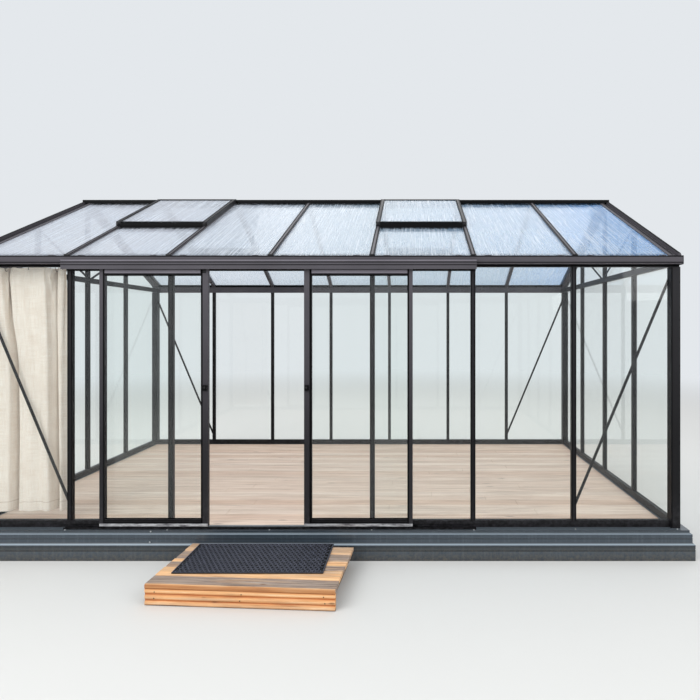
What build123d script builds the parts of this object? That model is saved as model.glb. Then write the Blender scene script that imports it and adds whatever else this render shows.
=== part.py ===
from build123d import *
import os
from math import atan, cos, radians, sin, tan

os.makedirs("parts", exist_ok=True)

# A glass greenhouse seven panes long and four panes deep, in millimetres.
# X runs along its length, the door side faces -Y, and Z is up from the ground.
# The origin is on the ground at the middle of the plan.

# The glazing grid, between the middles of the corner posts
glazed_length = 5075.0
glazed_depth = 2900.0
bays_long = 7
bays_deep = 4
corner_post = 65.0
bar_width = 34.0
wall_bar_depth = 34.0
glass_thickness = 4.0

# Heights
base_height = 205.0
sill_height = 52.0
post_height = 1872.0
beam_height = 60.0

# The folded steel base, from its top edge down: each fold steps outwards
base_sheet = 4.0
base_top_reach = 77.0
base_step = 14.0
base_upper_fascia = 15.0
base_upper_ledge = 9.0
base_middle_fascia = 58.0
base_lower_ledge = 13.0
base_groove = 4.0
base_groove_depth = 2.0
base_middle_groove_drop = 25.0
base_skirt_groove_drop = 32.0
base_front_left_length = 1333.5

# The floor and what carries it
floor_thickness = 28.0
joist_width = 45.0

# The sill's lower part stands back from its face
sill_recess = 7.0
sill_recess_height = 25.0

# The roof
roof_pitch = 25.4
roof_bar_depth = 44.0
bar_foot_reach = 50.0
glass_foot_reach = 53.0
glass_drop = 10.0
seal_width = 10.0
ridge_web = 30.0
ridge_cap_width = 60.0
ridge_cap_height = 30.0
ridge_peak = 4.0
verge_rim_width = 18.0
verge_rim_height = 8.0
verge_rim_inset = 4.0
verge_groove_depth = 16.0
verge_lip_width = 8.0
verge_flange_width = 25.0
verge_flange_thickness = 6.0

# The gutter in front of the eave beam
gutter_reach = 75.0
gutter_rise = 18.0
gutter_height = 57.0
gutter_wall = 4.0
gutter_groove_drop = 48.0
gutter_groove = 8.0
gutter_groove_depth = 2.5

# Bracing
tie_height = 48.0
tie_depth = 30.0
strut_width = 20.0
strut_thickness = 5.0
strut_gap = 10.0
brace_width = 20.0
brace_thickness = 5.0
brace_foot_height = 62.0
brace_head_drop = 97.0

# The roof vents, each over the upper half of its bay
vent_bays = (1, 4)
vent_length = 858.0
vent_side_width = 37.0
vent_rail_width = 36.0
vent_height = 33.0
vent_glass_height = 25.0
fit_gap = 0.3

# The sliding doors, shown as they stand open
door_lines = (2, 4)
leaf_width = 772.0
leaf_thickness = 32.0
leaf_wall_gap = 16.0
leaf_floor_gap = 23.0
leaf_head_gap = 15.0
leaf_meeting_gap = 6.0
left_leaf_open = 435.0
right_leaf_open = 241.0
stile_width = 38.0
meeting_flange_width = 16.0
meeting_flange_recess = 9.0
top_rail_height = 44.0
bottom_rail_height = 47.0
guide_fin_width = 6.0
guide_fin_drop = 15.0
lock_width = 30.0
lock_length = 38.0
lock_depth = 20.0
lock_height = 1213.0

# The door's head track and bottom track
track_overrun = 18.0
track_sheet = 4.0
track_cover_reach = 20.0
track_cover_rise = 25.0
track_cover_drop = 41.0
track_lip_gap = 5.0
track_slot = 8.0
track_back_reach = 22.0
track_groove_heights = (30.0, 49.0)
track_groove = 6.0
track_groove_depth = 2.5
bottom_track_floor = 3.0
bottom_track_height = 14.0
bottom_track_slot = 18.0
bottom_track_lip = 4.0
roller_radius = 7.0
roller_width = 8.0
roller_inset = 90.0
roller_hanger = 4.0
axle_radius = 3.0

# The doorstep stands a little askew against the base
step_width = 1138.0
step_depth = 633.0
step_height = 128.0
step_board = 28.0
step_turn = 3.7
step_left_reach = 526.5
step_gap = 0.5
step_bearer = 45.0
step_bearer_inset = 40.0
step_nosing = 3.0
mat_width = 934.0
mat_depth = 460.0
mat_thickness = 10.0
mat_wall_gap = 38.0

# The curtain in the left front bay
curtain_width = 610.0
curtain_depth = 96.0
curtain_sheet = 10.0
curtain_bottom = 300.0
curtain_corner_gap = 15.0
curtain_brace_gap = 7.0
# Each fold's place, as a share of the curtain's width and of its depth
curtain_folds = ((0.0, 0.6), (0.14, 0.0), (0.37, 1.0), (0.64, 0.0), (0.89, 0.9), (1.0, 0.3))
rod_radius = 5.0
rod_rise = 12.0
rod_bracket = 10.0

# Worked out from the values above
half_length = glazed_length / 2
half_depth = glazed_depth / 2
module_long = glazed_length / bays_long
module_deep = glazed_depth / bays_deep
half_bar = bar_width / 2
half_post = corner_post / 2
wall_outer = wall_bar_depth / 2
sill_top = base_height + sill_height
eave_height = base_height + post_height
pitch = radians(roof_pitch)
roof_bar_upright = roof_bar_depth / cos(pitch)
apex_height = eave_height + beam_height + roof_bar_upright + half_depth * tan(pitch)
bar_foot = half_depth + bar_foot_reach
glass_foot = half_depth + glass_foot_reach
half_web = ridge_web / 2
half_cap = ridge_cap_width / 2
gutter_floor = eave_height + gutter_rise
gutter_outer = half_depth + gutter_reach
beam_outer = half_depth + wall_outer
beam_inner = half_depth - wall_outer
tie_top = eave_height + tie_height
outer_length = half_length + half_post


def grid_x(line):
    return line * module_long - half_length


def grid_y(line):
    return line * module_deep - half_depth


def roof_height(reach, rise):
    """Height of a point over the roof bars' top faces, at a distance from the ridge line."""
    return apex_height - reach * tan(pitch) + rise / cos(pitch)


def block(x_range, y_range, z_range):
    """A rectangular block between three pairs of limits."""
    middle = tuple((low + high) / 2 for low, high in (x_range, y_range, z_range))
    size = tuple(abs(high - low) for low, high in (x_range, y_range, z_range))
    with Locations(middle):
        Box(*size)


def side_profile(points, x_from, x_to):
    """A profile drawn in Y and Z, run along X."""
    with BuildSketch(Plane.YZ.offset(x_from)) as profile:
        with BuildLine():
            Polyline(*points, close=True)
        make_face()
    extrude(profile.sketch, amount=x_to - x_from)


def front_profile(points, y_from, y_to):
    """A profile drawn in X and Z, run along Y."""
    with BuildSketch(Plane.XZ.offset(-y_from)) as profile:
        with BuildLine():
            Polyline(*points, close=True)
        make_face()
    extrude(profile.sketch, amount=y_from - y_to)


def slope_member(side, x_range, reach_foot, reach_head, rise_low, rise_high):
    """A straight member that follows the roof slope, with upright ends."""
    points = [
        (side * reach_foot, roof_height(reach_foot, rise_low)),
        (side * reach_head, roof_height(reach_head, rise_low)),
        (side * reach_head, roof_height(reach_head, rise_high)),
        (side * reach_foot, roof_height(reach_foot, rise_high)),
    ]
    side_profile(points, *x_range)


def finish(piece, name):
    """Labels a finished piece and writes its file."""
    piece.part.label = name
    export_step(piece.part, f"parts/{name}.step")


# The steel base: one folded profile around the plan, mitred at the corners
def base_outline():
    """The fold from the outer top edge down to the ground, as reach and height."""
    levels = [base_height]
    for drop in (base_upper_fascia, base_upper_ledge, base_middle_fascia, base_lower_ledge):
        levels.append(levels[-1] - drop)
    return [
        (base_top_reach, levels[0]),
        (base_top_reach, levels[1]),
        (base_top_reach + base_step, levels[2]),
        (base_top_reach + base_step, levels[3]),
        (base_top_reach + 2 * base_step, levels[4]),
        (base_top_reach + 2 * base_step, 0),
    ]


def base_profile():
    outer = base_outline()
    top_inner = [(-half_post, base_height - base_sheet), (-half_post, base_height)]
    inner = [(reach - base_sheet, height) for reach, height in reversed(outer)]
    inner[-1] = (base_top_reach - base_sheet, base_height - base_sheet)
    return outer + inner + top_inner


def base_grooves():
    """Lower and upper limit and reach of the two grooves that run along the base."""
    outer = base_outline()
    middle = outer[2][1] - base_middle_groove_drop
    skirt = outer[4][1] - base_skirt_groove_drop
    return [(middle, outer[2][0]), (skirt, outer[4][0])]


def corner_plane(x_side, y_side):
    """The upright mitre plane through one corner of the plan."""
    origin = (x_side * half_length, y_side * half_depth, 0)
    return Plane(origin=origin, z_dir=(x_side, -y_side, 0))


def base_run_along_x(y_side, x_from, x_to):
    points = [(y_side * (half_depth + reach), height) for reach, height in base_profile()]
    side_profile(points, x_from, x_to)
    for low, reach in base_grooves():
        face = y_side * (half_depth + reach)
        with Locations(((x_from + x_to) / 2, face, low + base_groove / 2)):
            Box(x_to - x_from, 2 * base_groove_depth, base_groove, mode=Mode.SUBTRACT)


base_reach = half_length + base_top_reach + 2 * base_step
seam_x = base_front_left_length - half_length
front_base_spans = {
    "base_front_left": (-base_reach, seam_x, -1),
    "base_front_right": (seam_x, base_reach, 1),
}
for name, (x_from, x_to, x_side) in front_base_spans.items():
    with BuildPart() as base_front:
        base_run_along_x(-1, x_from, x_to)
        split(bisect_by=corner_plane(x_side, -1), keep=Keep.BOTTOM)
    finish(base_front, name)

with BuildPart() as base_rear:
    base_run_along_x(1, -base_reach, base_reach)
    for x_side in (-1, 1):
        split(bisect_by=corner_plane(x_side, 1), keep=Keep.BOTTOM)
finish(base_rear, "base_rear")

base_end_reach = half_depth + base_top_reach + 2 * base_step
for name, x_side in {"base_left": -1, "base_right": 1}.items():
    with BuildPart() as base_end:
        points = [(x_side * (half_length + reach), height) for reach, height in base_profile()]
        front_profile(points, base_end_reach, -base_end_reach)
        for low, reach in base_grooves():
            face = x_side * (half_length + reach)
            with Locations((face, 0, low + base_groove / 2)):
                Box(2 * base_groove_depth, 2 * base_end_reach, base_groove, mode=Mode.SUBTRACT)
        for y_side in (-1, 1):
            split(bisect_by=corner_plane(x_side, y_side), keep=Keep.TOP)
    finish(base_end, name)

# The floor lies between the inner edges of the base, on joists that stand on the ground
floor_x = half_length - half_post
floor_y = half_depth - half_post
floor_bottom = base_height - floor_thickness

with BuildPart() as floor:
    block((-floor_x, floor_x), (-floor_y, floor_y), (floor_bottom, base_height))
finish(floor, "floor")

with BuildPart() as floor_joists:
    for bay in range(bays_long):
        middle = grid_x(bay) + module_long / 2
        block(
            (middle - joist_width / 2, middle + joist_width / 2),
            (-floor_y, floor_y),
            (0, floor_bottom),
        )
finish(floor_joists, "floor_joists")


# The sills, with a shadow step along the bottom of the outer face
def sill_points(side, centre):
    outer = centre + wall_outer
    step = base_height + sill_recess_height
    return [
        (side * (centre - wall_outer), base_height),
        (side * (outer - sill_recess), base_height),
        (side * (outer - sill_recess), step),
        (side * outer, step),
        (side * outer, sill_top),
        (side * (centre - wall_outer), sill_top),
    ]


post_inner_x = half_length - half_post
post_inner_y = half_depth - half_post
door_left_line, door_right_line = door_lines
opening_left = grid_x(door_left_line) + half_bar
opening_right = grid_x(door_right_line) - half_bar
opening_middle = (opening_left + opening_right) / 2

with BuildPart() as sill_front:
    side_profile(sill_points(-1, half_depth), -post_inner_x, opening_left)
    side_profile(sill_points(-1, half_depth), opening_right, post_inner_x)
finish(sill_front, "sill_front")

with BuildPart() as sill_rear:
    side_profile(sill_points(1, half_depth), -post_inner_x, post_inner_x)
finish(sill_rear, "sill_rear")

with BuildPart() as gable_sills:
    for x_side in (-1, 1):
        front_profile(sill_points(x_side, half_length), post_inner_y, -post_inner_y)
finish(gable_sills, "gable_sills")

# Posts and wall bars
with BuildPart() as corner_posts:
    for x_side in (-1, 1):
        for y_side in (-1, 1):
            x_mid = x_side * half_length
            y_mid = y_side * half_depth
            block(
                (x_mid - half_post, x_mid + half_post),
                (y_mid - half_post, y_mid + half_post),
                (base_height, eave_height),
            )
finish(corner_posts, "corner_posts")

front_lines = [k for k in range(1, bays_long) if not door_left_line < k < door_right_line]
wall_bar_rows = {
    "front_wall_bars": (-1, front_lines),
    "rear_wall_bars": (1, range(1, bays_long)),
}
for name, (y_side, lines) in wall_bar_rows.items():
    with BuildPart() as wall_bars:
        for line in lines:
            y_mid = y_side * half_depth
            block(
                (grid_x(line) - half_bar, grid_x(line) + half_bar),
                (y_mid - wall_outer, y_mid + wall_outer),
                (sill_top, eave_height),
            )
    finish(wall_bars, name)


# A gable bar runs past the tie and up to the underside of the verge
def gable_top(y):
    return roof_height(max(abs(y), half_web), -roof_bar_depth)


with BuildPart() as gable_bars:
    for x_side in (-1, 1):
        for line in range(1, bays_deep):
            low_y = grid_y(line) - half_bar
            high_y = grid_y(line) + half_bar
            corners = [y for y in (low_y, -half_web, half_web, high_y) if low_y <= y <= high_y]
            points = [(low_y, sill_top)]
            points += [(y, gable_top(y)) for y in corners]
            points += [(high_y, sill_top)]
            x_mid = x_side * half_length
            side_profile(points, x_mid - wall_outer, x_mid + wall_outer)
finish(gable_bars, "gable_bars")


# The eave beam with its gutter, one profile
def gutter_points(side):
    beam_top_inner = roof_height(beam_inner, -roof_bar_depth)
    beam_top_outer = roof_height(beam_outer, -roof_bar_depth)
    lip = gutter_outer - gutter_wall
    floor_top = gutter_floor + gutter_wall
    return [
        (side * beam_inner, eave_height),
        (side * beam_outer, eave_height),
        (side * beam_outer, gutter_floor),
        (side * gutter_outer, gutter_floor),
        (side * gutter_outer, gutter_floor + gutter_height),
        (side * lip, gutter_floor + gutter_height),
        (side * lip, floor_top),
        (side * beam_outer, floor_top),
        (side * beam_outer, beam_top_outer),
        (side * beam_inner, beam_top_inner),
    ]


for name, y_side in {"gutter_front": -1, "gutter_rear": 1}.items():
    with BuildPart() as gutter:
        side_profile(gutter_points(y_side), -outer_length, outer_length)
        groove_height = gutter_floor + gutter_height - gutter_groove_drop
        with Locations((0, y_side * gutter_outer, groove_height)):
            Box(2 * outer_length, 2 * gutter_groove_depth, gutter_groove, mode=Mode.SUBTRACT)
    finish(gutter, name)

# Gable ties and the struts that rise from their middle to the verges
with BuildPart() as gable_ties:
    for x_side in (-1, 1):
        face = half_length - wall_outer
        block(
            (x_side * (face - tie_depth), x_side * face),
            (-beam_inner, beam_inner),
            (eave_height, tie_top),
        )
finish(gable_ties, "gable_ties")


def strut_points(side):
    """The strut's outline between the top of the tie and the underside of the verge."""
    slope = (gable_top(module_deep) - tie_top) / module_deep
    half_upright = strut_width / 2 / cos(atan(slope))
    start = tie_top - half_upright - slope * strut_gap / 2
    underside = roof_height(0, -roof_bar_depth)
    foot = [(tie_top - start - offset) / slope for offset in (half_upright, -half_upright)]
    head = [
        (underside - start - offset) / (slope + tan(pitch))
        for offset in (-half_upright, half_upright)
    ]
    points = [(y, tie_top) for y in foot] + [(y, gable_top(y)) for y in head]
    return [(side * y, z) for y, z in points]


with BuildPart() as gable_struts:
    for x_side in (-1, 1):
        face = x_side * (half_length - wall_outer)
        for y_side in (-1, 1):
            side_profile(strut_points(y_side), face - x_side * strut_thickness, face)
finish(gable_struts, "gable_struts")


# The roof's bars, verges and ridge
def verge_member(x_side, y_side):
    """One verge: a bar with an outer rim, a groove, a lip and a flange over the glass edge."""
    middle = x_side * half_length

    def across(inner, outer):
        ends = (middle + x_side * inner, middle + x_side * outer)
        return min(ends), max(ends)

    groove_floor = -verge_groove_depth
    rim_outer = half_post - verge_rim_inset
    rim_inner = rim_outer - verge_rim_width
    lip_outer = verge_lip_width - half_post
    body = across(-half_post, half_post)
    slope_member(y_side, body, bar_foot, half_web, -roof_bar_depth, groove_floor)
    slope_member(y_side, across(rim_inner, half_post), bar_foot, half_web, groove_floor, 0)
    slope_member(y_side, across(-half_post, lip_outer), bar_foot, half_web, groove_floor, 0)
    rim = across(rim_inner, rim_outer)
    slope_member(y_side, rim, bar_foot, half_cap, 0, verge_rim_height)
    flange = across(-half_post - verge_flange_width, -half_post)
    flange_top = verge_flange_thickness - glass_drop
    slope_member(y_side, flange, bar_foot, half_cap, -glass_drop, flange_top)


with BuildPart() as verge_bars:
    for x_side in (-1, 1):
        for y_side in (-1, 1):
            verge_member(x_side, y_side)
finish(verge_bars, "verge_bars")

for name, y_side in {"roof_bars_front": -1, "roof_bars_rear": 1}.items():
    with BuildPart() as roof_bars:
        for line in range(1, bays_long):
            span = (grid_x(line) - half_bar, grid_x(line) + half_bar)
            slope_member(y_side, span, bar_foot, half_web, -roof_bar_depth, 0)
    finish(roof_bars, name)

with BuildPart() as ridge:
    cap_side = roof_height(half_cap, 0) + ridge_cap_height
    half_section = [
        (half_cap, cap_side),
        (half_cap, roof_height(half_cap, 0)),
        (half_web, roof_height(half_web, 0)),
        (half_web, roof_height(half_web, -roof_bar_depth)),
    ]
    mirrored = [(-y, z) for y, z in reversed(half_section)]
    side_profile([(0, cap_side + ridge_peak)] + half_section + mirrored, -outer_length, outer_length)
finish(ridge, "ridge")


# The roof glass between the bars, and the seals under its lower edge
def bay_limits(bay, end_inset):
    """The clear width of a bay between its bars, or its corner posts at the ends."""
    left = grid_x(bay) + (end_inset if bay == 0 else half_bar)
    right = grid_x(bay + 1) - (end_inset if bay == bays_long - 1 else half_bar)
    return left, right


glass_top = -glass_drop
glass_bottom = -glass_drop - glass_thickness
vent_head = half_cap + fit_gap
vent_foot = vent_head + vent_length * cos(pitch)
rail_run = vent_rail_width * cos(pitch)
vent_sill_head = vent_foot - rail_run

for name, y_side in {"front_roof_glass": -1, "rear_roof_glass": 1}.items():
    with BuildPart() as roof_glass:
        for bay in range(bays_long):
            head = vent_foot if bay in vent_bays else half_web
            limits = bay_limits(bay, half_post)
            slope_member(y_side, limits, glass_foot, head, glass_bottom, glass_top)
    finish(roof_glass, name)

with BuildPart() as eave_seals:
    for y_side in (-1, 1):
        for bay in range(bays_long):
            foot = half_depth + seal_width / 2
            head = half_depth - seal_width / 2
            limits = bay_limits(bay, half_post)
            slope_member(y_side, limits, foot, head, -roof_bar_depth, glass_bottom)
finish(eave_seals, "eave_seals")

# The roof vents: a raised frame on the bars, closed by its own pane
with BuildPart() as vent_sills:
    for y_side in (-1, 1):
        for bay in vent_bays:
            limits = bay_limits(bay, half_post)
            slope_member(y_side, limits, vent_foot, vent_sill_head, -roof_bar_depth, 0)
finish(vent_sills, "vent_sills")


def vent_sides(bay):
    """Inner faces of the two side bars of a vent, which sit centred on the roof bars."""
    return grid_x(bay) + vent_side_width / 2, grid_x(bay + 1) - vent_side_width / 2


with BuildPart() as vent_side_bars:
    for y_side in (-1, 1):
        for bay in vent_bays:
            left, right = vent_sides(bay)
            for span in ((left - vent_side_width, left), (right, right + vent_side_width)):
                slope_member(y_side, span, vent_foot, vent_head, 0, vent_height)
finish(vent_side_bars, "vent_side_bars")

with BuildPart() as vent_rails:
    for y_side in (-1, 1):
        for bay in vent_bays:
            limits = vent_sides(bay)
            slope_member(y_side, limits, vent_foot, vent_foot - rail_run, 0, vent_glass_height)
            slope_member(y_side, limits, vent_head + rail_run, vent_head, 0, vent_height)
finish(vent_rails, "vent_rails")

with BuildPart() as vent_glass:
    for y_side in (-1, 1):
        for bay in vent_bays:
            head = vent_head + rail_run
            pane_top = vent_glass_height + glass_thickness
            slope_member(y_side, vent_sides(bay), vent_foot, head, vent_glass_height, pane_top)
finish(vent_glass, "vent_glass")

# The wall glass, one full-height pane to each bay
half_glass = glass_thickness / 2
door_bays = range(*door_lines)
wall_pane_rows = {
    "front_wall_glass": (-1, [b for b in range(bays_long) if b not in door_bays]),
    "rear_wall_glass": (1, range(bays_long)),
}
for name, (y_side, bays) in wall_pane_rows.items():
    with BuildPart() as wall_glass:
        for bay in bays:
            y_mid = y_side * half_depth
            block(
                bay_limits(bay, half_post),
                (y_mid - half_glass, y_mid + half_glass),
                (sill_top, eave_height),
            )
    finish(wall_glass, name)


def gable_pane_points(bay):
    """A gable pane from the sill up to the verge, past the end of the eave beam."""
    inner_low = grid_y(bay) + half_bar
    inner_high = grid_y(bay + 1) - half_bar
    if bay == 0:
        low = [(-beam_inner, gable_top(beam_inner)), (-beam_inner, eave_height)]
        low += [(-post_inner_y, eave_height), (-post_inner_y, sill_top)]
        return low + [(inner_high, sill_top), (inner_high, gable_top(inner_high))]
    if bay == bays_deep - 1:
        return [(-y, z) for y, z in reversed(gable_pane_points(0))]
    return [
        (inner_low, gable_top(inner_low)),
        (inner_low, sill_top),
        (inner_high, sill_top),
        (inner_high, gable_top(inner_high)),
    ]


with BuildPart() as gable_glass:
    for x_side in (-1, 1):
        for bay in range(bays_deep):
            x_mid = x_side * half_length
            side_profile(gable_pane_points(bay), x_mid - half_glass, x_mid + half_glass)
finish(gable_glass, "gable_glass")

# Flat diagonal braces inside the four end bays of the long walls
brace_foot_z = sill_top + brace_foot_height
brace_head_z = eave_height - brace_head_drop
brace_run = post_inner_x - abs(grid_x(1))
brace_half_upright = brace_width / 2 / cos(atan((brace_head_z - brace_foot_z) / brace_run))

with BuildPart() as wall_braces:
    for y_side in (-1, 1):
        for x_side in (-1, 1):
            foot_x = x_side * abs(grid_x(1))
            head_x = x_side * post_inner_x
            points = [
                (foot_x, brace_foot_z - brace_half_upright),
                (head_x, brace_head_z - brace_half_upright),
                (head_x, brace_head_z + brace_half_upright),
                (foot_x, brace_foot_z + brace_half_upright),
            ]
            face = y_side * beam_inner
            front_profile(points, face, face - y_side * brace_thickness)
finish(wall_braces, "wall_braces")

# The door's head track hangs from the gutter, with a slot below for the hangers
track_left = grid_x(door_left_line - 1) - track_overrun
track_right = grid_x(door_right_line + 1) + track_overrun
track_middle = (track_left + track_right) / 2
leaf_inner = -(beam_outer + leaf_wall_gap)
leaf_outer = leaf_inner - leaf_thickness
leaf_middle = (leaf_inner + leaf_outer) / 2
cover_face = -(gutter_outer + track_cover_reach)
cover_back = cover_face + track_sheet
cover_bottom = gutter_floor - track_cover_drop
cover_top = gutter_floor + track_cover_rise
lip_top = gutter_floor - track_sheet - 2 * roller_radius - track_lip_gap - fit_gap
lip_bottom = lip_top - track_sheet
track_back = leaf_middle + track_back_reach

with BuildPart() as door_head_track:
    block((track_left, track_right), (cover_face, cover_back), (cover_bottom, cover_top))
    block(
        (track_left, track_right),
        (cover_back, -gutter_outer),
        (cover_top - track_sheet, cover_top),
    )
    block(
        (track_left, track_right),
        (cover_back, track_back),
        (gutter_floor - track_sheet, gutter_floor),
    )
    block(
        (track_left, track_right),
        (track_back - track_sheet, track_back),
        (lip_bottom, gutter_floor),
    )
    block(
        (track_left, track_right),
        (cover_back, leaf_middle - track_slot / 2),
        (lip_bottom, lip_top),
    )
    block(
        (track_left, track_right),
        (leaf_middle + track_slot / 2, track_back),
        (lip_bottom, lip_top),
    )
    for groove_height in track_groove_heights:
        with Locations((track_middle, cover_face, cover_bottom + groove_height)):
            Box(
                track_right - track_left,
                2 * track_groove_depth,
                track_groove,
                mode=Mode.SUBTRACT,
            )
finish(door_head_track, "door_head_track")

with BuildPart() as door_bottom_track:
    half_slot = bottom_track_slot / 2
    half_track = half_slot + bottom_track_lip
    track_top = base_height + bottom_track_height
    block(
        (track_left, track_right),
        (leaf_middle - half_track, leaf_middle + half_track),
        (base_height, base_height + bottom_track_floor),
    )
    for y_low in (leaf_middle - half_track, leaf_middle + half_slot):
        block((track_left, track_right), (y_low, y_low + bottom_track_lip), (base_height, track_top))
finish(door_bottom_track, "door_bottom_track")

# The two sliding leaves, in the places where they stand open
leaf_bottom = base_height + leaf_floor_gap
leaf_top = eave_height - leaf_head_gap


def leaf_limits(x_side):
    """Left and right edge of a leaf at rest; the side says which half it closes."""
    travel = left_leaf_open if x_side < 0 else right_leaf_open
    meeting = opening_middle + x_side * (leaf_meeting_gap / 2 + travel)
    return meeting, meeting + x_side * leaf_width


for leaf_name, x_side in {"door_left": -1, "door_right": 1}.items():
    meeting, outer = leaf_limits(x_side)
    face_edge = meeting + x_side * stile_width
    stile_inner = face_edge + x_side * meeting_flange_width
    rail_end = outer - x_side * stile_width
    glass_low = leaf_bottom + bottom_rail_height
    glass_high = leaf_top - top_rail_height

    with BuildPart() as leaf_stiles:
        for x_from in (meeting, rail_end):
            block(
                (x_from, x_from + x_side * stile_width),
                (leaf_outer, leaf_inner),
                (leaf_bottom, leaf_top),
            )
        block(
            (face_edge, stile_inner),
            (leaf_outer + meeting_flange_recess, leaf_inner),
            (leaf_bottom, leaf_top),
        )
    finish(leaf_stiles, f"{leaf_name}_stiles")

    with BuildPart() as leaf_rails:
        block((stile_inner, rail_end), (leaf_outer, leaf_inner), (glass_high, leaf_top))
        block((stile_inner, rail_end), (leaf_outer, leaf_inner), (leaf_bottom, glass_low))
        block(
            (stile_inner, rail_end),
            (leaf_middle - guide_fin_width / 2, leaf_middle + guide_fin_width / 2),
            (leaf_bottom - guide_fin_drop, leaf_bottom),
        )
    finish(leaf_rails, f"{leaf_name}_rails")

    with BuildPart() as leaf_glass:
        block(
            (stile_inner, rail_end),
            (leaf_middle - half_glass, leaf_middle + half_glass),
            (glass_low, glass_high),
        )
    finish(leaf_glass, f"{leaf_name}_glass")

    with BuildPart() as leaf_handle:
        lock_middle = meeting + x_side * stile_width / 2
        block(
            (lock_middle - lock_width / 2, lock_middle + lock_width / 2),
            (leaf_outer - lock_depth, leaf_outer),
            (lock_height - lock_length / 2, lock_height + lock_length / 2),
        )
    finish(leaf_handle, f"{leaf_name}_handle")

    with BuildPart() as leaf_rollers:
        axle_height = lip_top + fit_gap + roller_radius
        wheel_middle = track_slot / 2 + roller_width / 2 + fit_gap
        for x_mid in (meeting + x_side * roller_inset, outer - x_side * roller_inset):
            block(
                (x_mid - roller_radius, x_mid + roller_radius),
                (leaf_middle - roller_hanger / 2, leaf_middle + roller_hanger / 2),
                (leaf_top, axle_height + axle_radius),
            )
            for y_side in (-1, 1):
                wheel_centre = (x_mid, leaf_middle + y_side * wheel_middle, axle_height)
                with Locations(Location(wheel_centre, (90, 0, 0))):
                    Cylinder(radius=roller_radius, height=roller_width)
            with Locations(Location((x_mid, leaf_middle, axle_height), (90, 0, 0))):
                Cylinder(radius=axle_radius, height=2 * wheel_middle)
    finish(leaf_rollers, f"{leaf_name}_rollers")

# The doorstep, a little askew, with its mat lying square to the wall
skirt_face = -(half_depth + base_top_reach + 2 * base_step)
turn = radians(step_turn)
step_plane = Plane(
    origin=(opening_middle - step_left_reach, skirt_face - step_gap, 0),
    x_dir=(cos(turn), -sin(turn), 0),
    z_dir=(0, 0, 1),
)


def step_block(x_range, y_range, z_range):
    """A block in the doorstep's own turned frame, from its back left corner."""
    with BuildSketch(step_plane.offset(z_range[0])) as outline:
        with Locations(((x_range[0] + x_range[1]) / 2, (y_range[0] + y_range[1]) / 2)):
            Rectangle(x_range[1] - x_range[0], y_range[1] - y_range[0])
    extrude(outline.sketch, amount=z_range[1] - z_range[0])


deck_bottom = step_height - step_board
fascia_front = -step_depth + step_nosing

with BuildPart() as doorstep_deck:
    step_block((0, step_width), (-step_depth, 0), (deck_bottom, step_height))
finish(doorstep_deck, "doorstep_deck")

with BuildPart() as doorstep_fascia:
    step_block((0, step_width), (fascia_front, fascia_front + step_board), (0, deck_bottom))
finish(doorstep_fascia, "doorstep_fascia")

with BuildPart() as doorstep_bearers:
    last_bearer = step_width - step_bearer - step_bearer_inset
    for x_from in (step_bearer_inset, (step_width - step_bearer) / 2, last_bearer):
        step_block(
            (x_from, x_from + step_bearer),
            (fascia_front + step_board, 0),
            (0, deck_bottom),
        )
finish(doorstep_bearers, "doorstep_bearers")

with BuildPart() as doorstep_mat:
    mat_back = skirt_face - mat_wall_gap
    block(
        (opening_middle - mat_width / 2, opening_middle + mat_width / 2),
        (mat_back - mat_depth, mat_back),
        (step_height, step_height + mat_thickness),
    )
finish(doorstep_mat, "doorstep_mat")

# The curtain and its rod, inside the left front bay
curtain_left = -post_inner_x + curtain_corner_gap
curtain_right = curtain_left + curtain_width
curtain_front = -beam_inner + brace_thickness + curtain_brace_gap
curtain_back = curtain_front + curtain_depth
curtain_top = eave_height + rod_rise - rod_radius - fit_gap
rod_middle = (curtain_front + curtain_back) / 2
rod_height = eave_height + rod_rise

with BuildPart() as curtain_rod:
    rod_centre = ((curtain_left + curtain_right) / 2, rod_middle, rod_height)
    with Locations(Location(rod_centre, (0, 90, 0))):
        Cylinder(radius=rod_radius, height=curtain_width)
    for x_from in (curtain_left, curtain_right - rod_bracket):
        block(
            (x_from, x_from + rod_bracket),
            (-beam_inner, rod_middle),
            (rod_height - rod_radius, rod_height + rod_radius),
        )
finish(curtain_rod, "curtain_rod")

fold_reach = curtain_depth - curtain_sheet
fold_front = [
    (curtain_left + along * curtain_width, curtain_front + deep * fold_reach)
    for along, deep in curtain_folds
]
fold_back = [(x_at, y_at + curtain_sheet) for x_at, y_at in reversed(fold_front)]

with BuildPart() as curtain:
    with BuildSketch(Plane.XY.offset(curtain_bottom)) as fold_plan:
        with BuildLine():
            Spline(*fold_front)
            Line(fold_front[-1], fold_back[0])
            Spline(*fold_back)
            Line(fold_back[-1], fold_front[0])
        make_face()
    extrude(fold_plan.sketch, amount=curtain_top - curtain_bottom)
finish(curtain, "curtain")
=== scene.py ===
import math
import random
from functools import partial
from itertools import accumulate, product

import bmesh
import bpy
from mathutils import Matrix, Vector, noise


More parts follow.
